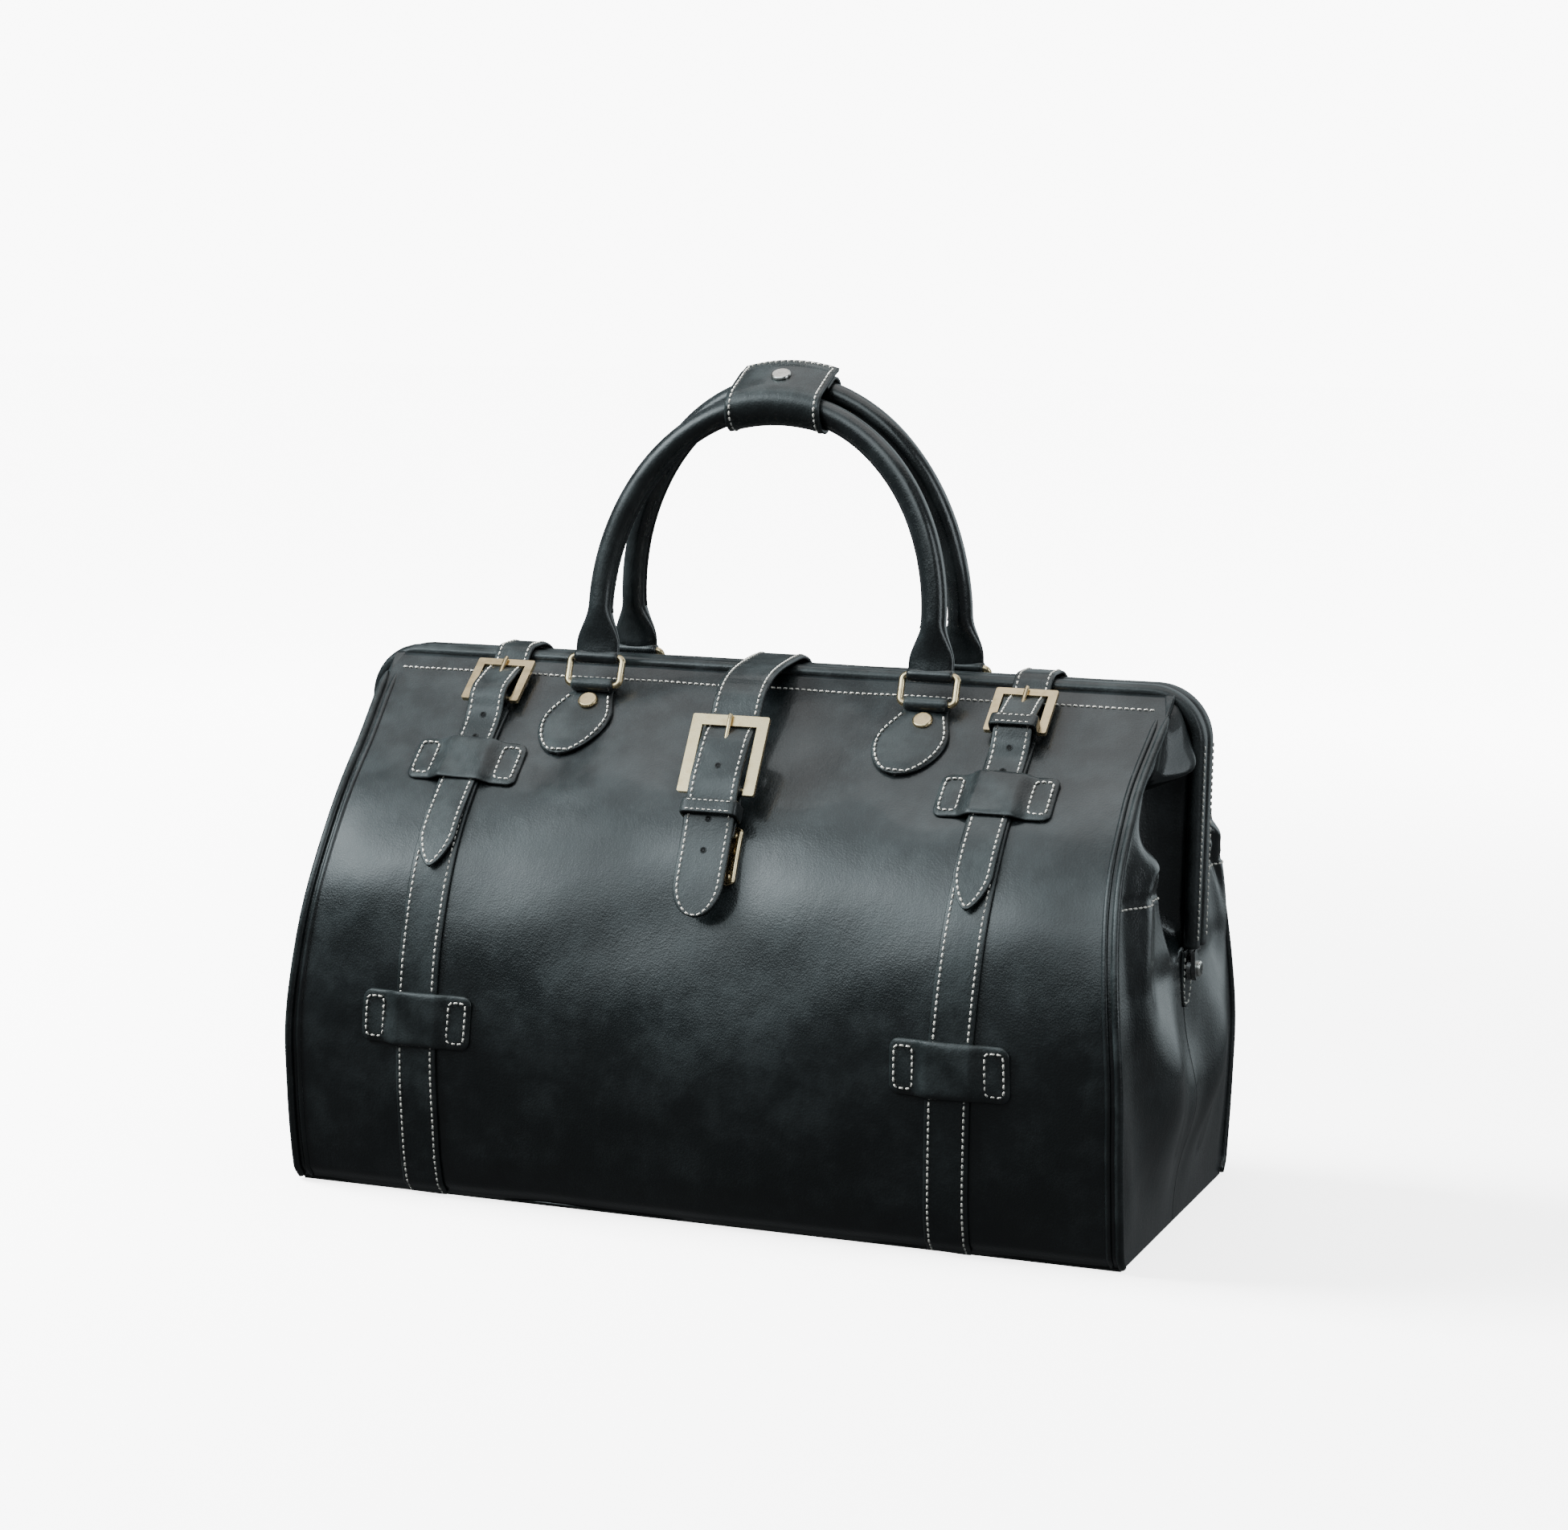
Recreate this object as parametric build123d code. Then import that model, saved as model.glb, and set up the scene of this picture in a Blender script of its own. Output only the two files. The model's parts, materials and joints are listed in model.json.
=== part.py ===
"""Doctor bag: a leather tub whose mouth is held by two hinged steel jaws, with two handles on rings,
two buckled side straps over the mouth and a centre strap with a buckle and a lock.

Millimetres. +Z is up, the front faces -Y, the length lies along X, and the origin is the middle of the
base's underside. A height names a place on the front skin, and "lift" is the distance outwards from it.
"""

from build123d import *
from math import atan2, cos, degrees, hypot, pi, sin
import os

# ---- the body ----
body_length = 500.0  # outside of one end panel to outside of the other
base_depth = 250.0  # front to back, at the base
belly_depth = 276.0  # front to back, at the widest
belly_height = 100.0
body_height = 311.0  # top of the closed jaws
upper_belly_depth = 242.0
upper_belly_drop = 123.0  # below the top of the jaws
shoulder_depth = 154.0
shoulder_drop = 61.0  # below the top of the jaws
leather = 2.5
board = 3.0
lining = 0.8
skin_gap = 0.2  # between pieces that lie on each other
rim_gap = 2.0  # between the tub's rim and the leather above it
tuck = 3.5  # how far the upper leather's hem tucks inside the tub
hem = 24.0

# ---- the jaws ----
jaw_out = 6.0  # middle of a leg, outside the end panel
jaw_cover_height = 9.0
jaw_cover_depth = 13.8
jaw_core = 4.0
jaw_slack = 0.1
jaw_gap = 0.8
jaw_corner = 28.0
hinge_height = 149.0
leg_clear = 13.0  # from the hinge to the end of a leg's cover
lug_radius = 7.0
lug_plate = 2.4
lug_gap = 0.4
pin_radius = 1.95
pin_play = 0.05
pin_head = 4.5
pin_head_height = 2.0

# ---- side straps ----
left_strap_out = 164.0  # middle of the left buckle, from the middle of the bag
right_strap_out = 160.0
left_strap_drift = 3.0  # how far the left strap's foot lies to the left of its buckle
right_strap_drift = 8.0
strap_width = 26.0
strap_leather = 2.5
tip_width = 23.0
tip_leather = 2.2
tip_point = 20.0
tip_drop = 121.0  # a side strap's tip, below the top of the jaws
hole_radius = 1.4
keeper_width = 70.0
keeper_length = 31.0
keeper_leather = 2.2
keeper_corner = 6.0
low_keeper_height = 107.0
over_strap_start = 58.0  # below the top of the jaws
high_keeper_drop = 62.0  # below the top of the jaws

# ---- buckles ----
buckle_drop = 21.0  # middle of a side buckle, below the top of the jaws
buckle_width = 36.5
buckle_length = 34.0
buckle_band = 5.0
buckle_plate = 2.6
heel_radius = 1.3
chape_wall = 1.5
prong_radius = 1.3
loop_band = 9.0
loop_wall = 1.8

# ---- centre strap and lock ----
centre_width = 31.0
centre_tip_drop = 133.0
centre_buckle_drop = 46.0
centre_buckle_width = 46.5
centre_buckle_length = 49.0
centre_buckle_band = 6.6
centre_out = 26.0  # how far the centre buckle stands in front of the skin
centre_lean = 31.0  # degrees, of its plane from the vertical
centre_tail = 32.0
lock_drop = 100.0  # middle of the lock, below the top of the jaws
lock_width = 36.0
lock_length = 34.0
lock_plate = 1.2
tongue_plate = 1.4
tongue_width = 18.0
tongue_length = 12.0

# ---- rings, tabs, handles ----
handle_spacing = 207.0
ring_drop = 20.0  # where a ring's lower bar sits, below the top of the jaws
ring_inside = 29.0
ring_height = 21.0
ring_radius = 2.0
ring_play = 0.06
ring_lean = 20.0  # degrees towards the mouth
loop_leather = 2.1
tab_width = 43.0
tab_length = 52.0
tab_lean = 8.0  # degrees, towards the left end
rivet_radius = 6.0
rivet_height = 2.2
grip_radius = 7.5
foot_length = 27.0
foot_rise = 30.0
front_handle_top = 463.0  # middle of the grip
back_handle_top = 473.0
front_handle_offset = 10.0  # of the grip's top from the middle of the bag
back_handle_offset = 8.5
wrap_length = 57.0
wrap_leather = 2.0
wrap_slack = 1.1
snap_radius = 6.0
snap_height = 1.8

half = body_length / 2
jaw_half_length = half + jaw_out
tip_height = body_height - tip_drop
centre_tip_height = body_height - centre_tip_drop
lock_height = body_height - lock_drop
fine = 40  # samples along a curved line


def skin_curve():
    """The front skin's outer line in the (y, z) plane, from just under the base to the jaw."""
    top = body_height
    return Edge.make_spline(
        [
            Vector(-(base_depth / 2 - 1.5), -8),
            Vector(-belly_depth / 2, belly_height),
            Vector(-upper_belly_depth / 2, top - upper_belly_drop),
            Vector(-shoulder_depth / 2, top - shoulder_drop),
            Vector(-(jaw_gap / 2 + jaw_cover_depth), top - jaw_cover_height * 0.6),
        ]
    )


skin = skin_curve()


def skin_at(t, lift=0.0):
    """The point of the skin's line at share t of its length, moved outwards by lift."""
    p, d = skin.position_at(t), skin.tangent_at(t)
    return (p.X - d.Y * lift, p.Y + d.X * lift)


def share_at(height):
    """The share of the skin's line that lies below a height."""
    low, high = 0.0, 1.0
    for _ in range(40):
        middle = (low + high) / 2
        if skin.position_at(middle).Y < height:
            low = middle
        else:
            high = middle
    return low


def on_skin(height, lift=0.0, along=0.0):
    """The (y, z) point on the skin at a height, then along millimetres further up it, and lift outwards."""
    return skin_at(share_at(height) + along / skin.length, lift)


def seat(x, height, lift=0.0, along=0.0):
    """A plane on the front skin: its x along X, its y up the skin and its z outwards."""
    t = share_at(height) + along / skin.length
    y, z = skin_at(t, lift)
    d = skin.tangent_at(t)
    return Plane(origin=(x, y, z), x_dir=(1, 0, 0), z_dir=(0, -d.Y, d.X))


def to_back(shape):
    return shape.mirror(Plane.XZ)


def outline(line_a, line_b):
    """The flat face in the YZ plane between two lines of (y, z) points that run the same way."""
    a = [Vector(0, y, z) for y, z in line_a]
    b = [Vector(0, y, z) for y, z in line_b]
    edges = [Edge.make_spline(a), Edge.make_line(a[-1], b[-1])]
    edges += [Edge.make_spline(b[::-1]), Edge.make_line(b[0], a[0])]
    return Face(Wire(edges))


def across(face, width, x=0.0):
    """A face in the YZ plane made width thick along X, about x."""
    return Pos(x - width / 2, 0, 0) * extrude(face, amount=width, dir=(1, 0, 0))


def between(low, high):
    """A box that holds everything from one height to another."""
    size = 4 * body_length
    return Pos(0, 0, low) * Box(size, size, high - low, align=(Align.CENTER, Align.CENTER, Align.MIN))


def band(lift_a, lift_b, width, x=0.0):
    """The whole front skin between two lifts, as a bent plate of a width."""
    shares = [n / fine for n in range(fine + 1)]
    return across(
        outline([skin_at(t, lift_a) for t in shares], [skin_at(t, lift_b) for t in shares]), width, x
    )


def ribbon(points, thickness, width, x=0.0):
    """A strip of leather whose middle follows a smooth line through (y, z) points."""
    line = Edge.make_spline([Vector(y, z) for y, z in points])
    sides = [[], []]
    for n in range(fine + 1):
        p, d = line.position_at(n / fine), line.tangent_at(n / fine)
        for side, sign in zip(sides, (1, -1)):
            side.append((p.X - sign * d.Y * thickness / 2, p.Y + sign * d.X * thickness / 2))
    return across(outline(*sides), width, x)


def rod(point, radius, length, x=0.0):
    """A round bar along X, through a (y, z) point."""
    return Pos(x, *point) * Rot(0, 90, 0) * Cylinder(radius, length)


def node(name, *solids):
    """Writes one sub-part."""
    found = [s for shape in solids for s in shape.solids()]
    export_step(Compound(found), f"parts/{name}.step")


# ---- tub ----
rim = hinge_height - 5.0
span = body_length - 2 * leather


def inside(lift, thickness, x, low, high):
    """A plate across the bag at x, that fills the space inside a lift between two heights."""
    edge = [skin_at(n / fine, lift) for n in range(fine + 1)]
    back = [(-y, z) for y, z in edge]
    return across(outline(edge, back), thickness, x) & between(low, high)


def tub():
    front = band(0, -leather, body_length) & between(0, rim)
    node("front_panel", front)
    node("back_panel", to_back(front))
    base = inside(-leather, span, 0, 0, leather)
    node("base_panel", base)
    board_low = leather + skin_gap
    node("base_board", inside(-leather - skin_gap, span - 2 * skin_gap, 0, board_low, board_low + board))
    for name, sign in (("left", -1), ("right", 1)):
        x = sign * (half - leather / 2)
        node(f"end_panel_{name}", inside(-leather, leather, x, leather, rim))
    floor = board_low + board + skin_gap
    wall = -leather - skin_gap
    side = band(wall, wall - lining, span - 2 * skin_gap) & between(floor, rim)
    room = wall - lining - skin_gap
    sheet = inside(room, span - 2 * skin_gap, 0, floor, floor + lining)
    ends = [
        inside(room, lining, sign * (half - leather - skin_gap - lining / 2), floor + lining + skin_gap, rim)
        for sign in (-1, 1)
    ]
    node("tub_lining", side, to_back(side), sheet, *ends)


def piping():
    """The welt along each end of the front and back skins."""
    radius = 2.2
    shares = [share_at(radius + 1) + (0.985 - share_at(radius + 1)) * n / fine for n in range(fine + 1)]
    points = [skin_at(t, radius + skin_gap) for t in shares]
    for name, turn in (("front", lambda s: s), ("back", to_back)):
        cords = []
        for x in (-half + radius, half - radius):
            path = Edge.make_spline([Vector(x, y, z) for y, z in points])
            profile = Plane(origin=path @ 0, z_dir=path % 0) * Circle(radius)
            cords.append(turn(sweep(profile, path)))
        node(f"{name}_piping", *cords)


# ---- jaws ----
leg_low = hinge_height + leg_clear
top_width = span - 2 * (leather + 1)  # of the leather between the jaw's legs
bar_height = body_height - jaw_cover_height / 2
bar_y = -(jaw_gap / 2 + jaw_cover_depth / 2)


def jaw_path(low):
    x, z = jaw_half_length, bar_height
    return FilletPolyline((-x, bar_y, low), (-x, bar_y, z), (x, bar_y, z), (x, bar_y, low), radius=jaw_corner)


def jaw_cover():
    path = jaw_path(leg_low)
    section = Plane(origin=path @ 0, x_dir=(1, 0, 0), z_dir=path % 0)
    outer = section * RectangleRounded(jaw_cover_height, jaw_cover_depth, jaw_cover_height / 2 - 0.3)
    bore = section * Circle(jaw_core / 2 + jaw_slack)
    return sweep(outer, path), sweep(bore, path)


def lug(side):
    """The flat eye at a leg's foot. Side is 1 for the outer layer and -1 for the inner one."""
    x = jaw_half_length + side * (lug_gap / 2 + lug_plate / 2)
    eye = Pos(0, hinge_height) * Circle(lug_radius)
    neck = Pos(bar_y, leg_low - jaw_core / 2 - 1) * Circle(jaw_core / 2)
    plate = across(Plane.YZ * make_hull((eye + neck).edges()), lug_plate, x)
    return plate - rod((0, hinge_height), pin_radius + pin_play, 4 * lug_plate, x)


def jaw_core_bar(side):
    path = jaw_path(leg_low - jaw_core / 2 - 1)
    section = Plane(origin=path @ 0, x_dir=(1, 0, 0), z_dir=path % 0)
    eye = lug(side)
    return sweep(section * Circle(jaw_core / 2), path) + eye + eye.mirror(Plane.YZ)


def jaw_leather():
    """The front skin above the tub's rim, with a hem tucked inside the tub."""
    width = top_width
    low = rim + rim_gap
    face = band(0, -leather, width) & between(low + hem - 4, body_height)
    tucked = band(-tuck, -tuck - leather, width) & between(low, low + hem)
    join = band(-leather / 2, -tuck - leather, width) & between(low + hem - 4, low + hem)
    return face + tucked + join


def gusset(outer):
    """The front half of the upper end leather: a plate across the bag, and a wing out to the jaw's leg."""
    x = top_width / 2 - leather / 2 - 3
    edge = bar_y + leather / 2
    plate = inside(-leather - tuck - skin_gap, leather, x, rim + rim_gap, body_height - 12)
    plate = plate + (inside(-leather - skin_gap, leather, x, rim + rim_gap + hem + 1, body_height - 12))
    half_space = Box(20, 4 * base_depth, 4 * body_height, align=(Align.CENTER, Align.MAX, Align.CENTER))
    plate = plate & (Pos(x, edge, 0) * half_space)
    reach = jaw_half_length - x
    wing_low = leg_low + 8
    wing = Pos(x, bar_y, wing_low) * Box(
        reach, leather, bar_height - jaw_corner - wing_low, align=(Align.MIN, Align.CENTER, Align.MIN)
    )
    return (plate + wing) - outer


def top_lining():
    """The cloth behind the jaw's leather, between the gussets."""
    back = -tuck - leather - skin_gap
    width = top_width - 2 * (3 + leather + skin_gap)
    return band(back, back - lining, width) & between(rim + rim_gap, body_height - 2 * jaw_cover_height)


def hinges():
    tabs, pins = [], []
    for sign in (-1, 1):
        tab_x = half + skin_gap + strap_leather / 2
        tab_top = Pos(0, hinge_height - 3) * Circle(lug_radius + 4)
        tab_foot = Pos(0, hinge_height - 16) * Circle(lug_radius)
        tab = across(Plane.YZ * make_hull((tab_top + tab_foot).edges()), strap_leather, tab_x)
        start = tab_x - strap_leather / 2
        end = jaw_half_length + lug_gap / 2 + lug_plate + pin_play
        hinge = (0, hinge_height)
        into_head = pin_head_height / 2
        shaft = rod(hinge, pin_radius, end - start + into_head, (start + end + into_head) / 2)
        head = rod(hinge, pin_head, pin_head_height, end + pin_head_height / 2)
        head = fillet(head.edges().group_by(Axis.X)[-1], pin_head_height * 0.6)
        tab = tab - rod(hinge, pin_radius + pin_play, 4 * strap_leather, tab_x)
        turn = (lambda s: s) if sign > 0 else (lambda s: s.mirror(Plane.YZ))
        tabs.append(turn(tab))
        pins.append(turn(shaft + head))
    node("hinge_tabs", *tabs)
    node("hinge_pins", *pins)


# ---- rings, tabs and handles ----
ring_lower = on_skin(body_height - ring_drop, ring_radius + ring_play + loop_leather + 1.2)
ring_pitch = ring_height - 2 * ring_radius
lean = ring_lean * pi / 180
ring_upper = (ring_lower[0] + ring_pitch * sin(lean), ring_lower[1] + ring_pitch * cos(lean))


def ring(x):
    """A rectangular wire ring, from its lower bar in the tab to its upper bar in the handle's foot."""
    frame = Plane(origin=(x, *ring_lower), x_dir=(1, 0, 0), z_dir=(0, -cos(lean), sin(lean)))
    bend = Pos(0, ring_pitch / 2) * RectangleRounded(ring_inside + 2 * ring_radius, ring_pitch, 3.2)
    path = (frame * bend).wire()
    section = Plane(origin=path @ 0, z_dir=path % 0) * Circle(ring_radius)
    return sweep(section, path)


def tab(x):
    """A teardrop of leather on the skin, with a loop at its top for the ring's lower bar."""
    wide, narrow = tab_width / 2, foot_length / 2
    top = seat(x, body_height - ring_drop, 0, 2)
    shape = make_hull(
        (
            Pos(0, -1) * Rectangle(2 * narrow, 2)
            + Pos(0, -tab_length * 0.56) * Circle(wide)
            + Pos(0, -tab_length + wide * 0.62) * Circle(wide * 0.62)
        ).edges()
    )
    prism = extrude(top * Rot(0, 0, -tab_lean) * shape, amount=30, both=True)
    plate = band(skin_gap, skin_gap + leather, 2 * tab_width, x) & prism
    bore = rod(ring_lower, ring_radius + ring_play, 2 * foot_length, x)
    loop = rod(ring_lower, ring_radius + ring_play + loop_leather, foot_length, x)
    foot = seat(x, body_height - ring_drop, skin_gap) * Box(
        foot_length, 7, ring_radius + loop_leather, align=(Align.CENTER, Align.CENTER, Align.MIN)
    )
    return (plate + loop + foot) - bore


def dome(radius, height):
    """A low rivet head that stands on its own plane."""
    disc = Cylinder(radius, height, align=(Align.CENTER, Align.CENTER, Align.MIN))
    return fillet(disc.edges().group_by(Axis.Z)[-1], height * 0.7)


def tab_rivet(x):
    return seat(x, body_height - ring_drop, leather + 2 * skin_gap, -11) * dome(rivet_radius, rivet_height)


def handle(top_height, top_offset):
    """A round grip bent to an arch, with a flat foot looped round each ring's upper bar."""
    rise = top_height - ring_upper[1]
    tilt = atan2(-top_offset - ring_upper[0], rise)
    plane = Plane(origin=(0, *ring_upper), x_dir=(1, 0, 0), z_dir=(0, -cos(tilt), sin(tilt)))
    long_rise = rise / cos(tilt)
    arch = plane * EllipticalCenterArc(
        (0, foot_rise), handle_spacing / 2, long_rise - foot_rise, start_angle=0, arc_size=180
    )
    grip = sweep(Plane(origin=arch @ 0, z_dir=arch % 0) * Circle(grip_radius), arch)
    outer = ring_radius + ring_play + loop_leather
    for sign in (-1, 1):
        x = sign * handle_spacing / 2
        flat = plane * Pos(x, outer * 0.5, 0) * Rot(-90, 0, 0)
        round_end = plane * Pos(x, foot_rise, 0) * Rot(-90, 0, 0)
        foot_section = RectangleRounded(foot_length, 2 * outer * 0.86, outer * 0.6)
        foot = loft([flat * foot_section, round_end * Circle(grip_radius)])
        grip = grip + foot + rod(ring_upper, outer, foot_length, x)
    for sign in (-1, 1):
        x = sign * handle_spacing / 2
        grip = grip - rod(ring_upper, ring_radius + ring_play, 2 * foot_length, x)
    return grip


# ---- wrap round both grips ----
front_grip = (-front_handle_offset, front_handle_top)
back_grip = (back_handle_offset, back_handle_top)
wrap_tilt = atan2(back_grip[1] - front_grip[1], back_grip[0] - front_grip[0])
wrap_middle = ((front_grip[0] + back_grip[0]) / 2, (front_grip[1] + back_grip[1]) / 2)
wrap_pitch = hypot(back_grip[0] - front_grip[0], back_grip[1] - front_grip[1])
wrap_inner = grip_radius + wrap_slack
wrap_outer = wrap_inner + wrap_leather
wrap_plane = Plane(origin=(0, *wrap_middle), x_dir=(0, cos(wrap_tilt), sin(wrap_tilt)), z_dir=(1, 0, 0))


wrap_bend = (handle_spacing / 2) ** 2 / (front_handle_top - ring_upper[1] - foot_rise)  # the grips' curve


def bent(section):
    """Carries a section, drawn round both grips, along the curve of the grips' tops."""
    share = degrees(wrap_length / 2 / wrap_bend)
    arc = CenterArc((0, wrap_middle[1] - wrap_bend), wrap_bend, 90 + share, -2 * share)
    path = Plane(origin=(0, wrap_middle[0], 0), x_dir=(1, 0, 0), z_dir=(0, -1, 0)) * arc
    start = Plane(origin=path @ 0, x_dir=(0, 1, 0), z_dir=path % 0)
    return sweep(start * Rot(0, 0, turn_to(start)) * section, path)


def turn_to(start):
    """Degrees from a section's own x to the line between the two grips."""
    up = start.y_dir.Z
    return degrees(wrap_tilt) * (1 if up > 0 else -1)


def wrap():
    outside = SlotCenterToCenter(wrap_pitch, 2 * wrap_outer)
    node("wrap_sleeve", bent(outside - SlotCenterToCenter(wrap_pitch, 2 * wrap_inner)))
    lid = Pos(0, wrap_outer + skin_gap + wrap_leather / 2) * Rectangle(wrap_pitch, wrap_leather)
    node("wrap_flap", bent(lid))
    cap = Pos(0, wrap_outer + 2 * skin_gap + wrap_leather, 0) * Rot(-90, 0, 0) * dome(snap_radius, snap_height)
    node("snap_cap", wrap_plane * cap)
    stud = Pos(0, wrap_inner - skin_gap, 0) * Rot(90, 0, 0) * Cylinder(
        snap_radius * 0.6, 0.6, align=(Align.CENTER, Align.CENTER, Align.MIN)
    )
    node("snap_stud", wrap_plane * stud)


# ---- straps ----
heel_lift = strap_leather + 0.4 + chape_wall + heel_radius  # the heel bar's middle above the skin
side_heel_along = -(buckle_length - buckle_band) / 2
centre_heel_along = -(centre_buckle_length - centre_buckle_band) / 2
crest = body_height + 2.2  # middle of a strap where it crosses the jaws
crest_edge = -(jaw_gap / 2 + jaw_cover_depth + 1.5)


def strap_middle(x, height):
    """Where a side strap's middle lies along X at a height: it leans to the left on its way down."""
    drift = right_strap_drift if x > 0 else left_strap_drift
    return x - drift * (1 - height / (body_height - buckle_drop))


def leaning(x, width):
    """A slanted prism that holds a side strap's width at every height."""
    low, high = -body_height, 2 * body_height
    corners = [
        (strap_middle(x, height) + sign * width / 2, height)
        for height, sign in ((low, -1), (high, -1), (high, 1), (low, 1))
    ]
    return extrude(Plane.XZ * make_face(Polyline(*corners, close=True)), amount=belly_depth, both=True)


def strap_hole(x, height, lift, along=0.0, length=0.0):
    """A drill, or a slot's cutter, square to the skin."""
    cutter = Cylinder(hole_radius, 12) if not length else Box(3 * prong_radius, length, 14)
    return seat(x, height, lift, along) * cutter


def tip_cutter(x, height, width, point):
    """A prism, square to the skin at a height, that leaves a strap's tip rounded to a soft point."""
    place = seat(x, height, 0)
    keep = make_hull(
        (Pos(0, point * 0.32) * Circle(point * 0.32) + Pos(0, point + 100) * Rectangle(width, 200)).edges()
    )
    return extrude(place * keep, amount=40, both=True)


def over_strap(middle, x, width, thickness):
    """The part of a strap that is sewn to the back skin, this far below the top, and crosses the closed jaws."""
    lift = thickness / 2 + 1.3
    up_skin = [on_skin(body_height - middle + rise, lift) for rise in (0, 20, 38)]
    points = [(-y, z) for y, z in up_skin]
    points += [(-crest_edge + 0.6, crest - 2.6), (-crest_edge - 6, crest + 0.3), (0, crest), (crest_edge + 6, crest)]
    return ribbon(points, thickness, width, x)


def side_tip(x):
    """A side strap's front end: over the jaw's edge, under the buckle, over its heel and down to the tip."""
    drop = body_height - buckle_drop
    over = heel_lift + heel_radius + chape_wall + 0.5 + tip_leather / 2
    rest = strap_leather + 0.5 + tip_leather / 2
    points = [
        (crest_edge + 5.4, crest),
        (crest_edge - 1, crest - 2.6),
        on_skin(drop, tip_leather / 2 + 1.2, -side_heel_along + 1),
        on_skin(drop, heel_lift + 1, 0),
        on_skin(drop, over, side_heel_along),
        on_skin(drop, over - 2.6, side_heel_along - 9),
        on_skin(body_height - high_keeper_drop, rest, keeper_length / 2 - 2),
        on_skin(body_height - high_keeper_drop, rest, -keeper_length / 2),
        on_skin(tip_height, rest + 1.4, 0),
    ]
    room = 2 * right_strap_drift
    end = tip_cutter(strap_middle(x, tip_height), tip_height, tip_width + room, tip_point)
    tip = ribbon(points, tip_leather, tip_width + room, x) & leaning(x, tip_width) & end
    tip = tip - strap_hole(x, drop, over, -3, 15)
    for along in (-24, -36):
        tip = tip - strap_hole(x, drop, rest, along)
    return tip


def buckle(place, width, length, band_width):
    """A flat square buckle on its own plane: a frame with a thin round heel bar at its lower end."""
    plate = Box(width, length, buckle_plate) - Box(width - 2 * band_width, length - 2 * band_width, 9)
    plate = fillet(plate.edges().filter_by(Axis.Z).group_by(Axis.X)[0], 1.2)
    plate = fillet(plate.edges().filter_by(Axis.Z).group_by(Axis.X)[-1], 1.2)
    plate = plate - Pos(0, -length / 2 + band_width / 2, 0) * Box(width - 2 * band_width, band_width + 1, 9)
    heel = Pos(0, -length / 2 + band_width / 2, 0) * Rot(0, 90, 0) * Cylinder(heel_radius, width - band_width)
    return place * (plate + heel)


def prong(place, length, band_width):
    """The pin that turns on the heel bar and rests on the far bar."""
    heel = -length / 2 + band_width / 2
    far = length / 2 - band_width / 2
    eye = Pos(0, heel, 0) * Rot(0, 90, 0) * (Cylinder(heel_radius + 1.3, 3.2) - Cylinder(heel_radius + pin_play, 9))
    rest = buckle_plate / 2 + prong_radius + 0.3
    path = Polyline((0, heel + heel_radius + 1.0, 0.4), (0, far, rest), (0, far + band_width * 0.45, rest - 0.2))
    bar = sweep(Plane(origin=path @ 0, z_dir=path % 0) * Circle(prong_radius), path, transition=Transition.ROUND)
    return place * (eye + bar)


def chape(place, width, length, band_width, lift, tail):
    """The strap's turned end that holds the heel bar, slotted for the prong."""
    heel = -length / 2 + band_width / 2
    outer, inner = heel_radius + chape_wall, heel_radius + pin_play + 0.05
    sleeve = Pos(0, heel, 0) * Rot(0, 90, 0) * Cylinder(outer, width)
    web = Pos(0, heel - tail / 2, -lift + skin_gap) * Box(
        width, tail, strap_leather, align=(Align.CENTER, Align.CENTER, Align.MIN)
    )
    neck = Pos(0, heel, -lift + skin_gap) * Box(
        width, 2 * outer - 0.8, lift, align=(Align.CENTER, Align.CENTER, Align.MIN)
    )
    bore = Pos(0, heel, 0) * Rot(0, 90, 0) * Cylinder(inner, 2 * width)
    slot = Pos(0, heel + outer / 2, 0) * Box(4.4, 3.4 * outer, 4 * outer)
    return place * ((sleeve + neck + web) - bore - slot)


def keeper(x, height):
    """A wide leather bridge, sewn down at both ends, that a strap passes under."""
    lift = strap_leather + tip_leather + 1.0
    flat = (keeper_width - strap_width) / 2 - 5
    plate = band(lift, lift + keeper_leather, keeper_width, x)
    legs = [
        band(skin_gap, lift + keeper_leather, flat - 3, x + sign * (keeper_width - flat + 3) / 2)
        for sign in (-1, 1)
    ]
    shape = RectangleRounded(keeper_width, keeper_length, keeper_corner)
    return (plate + legs[0] + legs[1]) & extrude(seat(x, height) * shape, amount=40, both=True)


def strap_run(x, stop):
    """The under layer of a side strap, from the base up to a height."""
    layer = band(skin_gap, skin_gap + strap_leather, strap_width + 2 * right_strap_drift, x)
    return layer & between(1, stop) & leaning(x, strap_width)


# ---- centre strap and lock ----
lean_back = centre_lean * pi / 180
centre_seat = Plane(
    origin=(0, on_skin(body_height - centre_buckle_drop)[0] - centre_out, body_height - centre_buckle_drop),
    x_dir=(1, 0, 0),
    z_dir=(0, -cos(lean_back), sin(lean_back)),
)


def at_centre(along, lift):
    """The (y, z) point in the centre buckle's own plane."""
    p = centre_seat.from_local_coords(Vector(0, along, lift))
    return (p.Y, p.Z)


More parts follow.
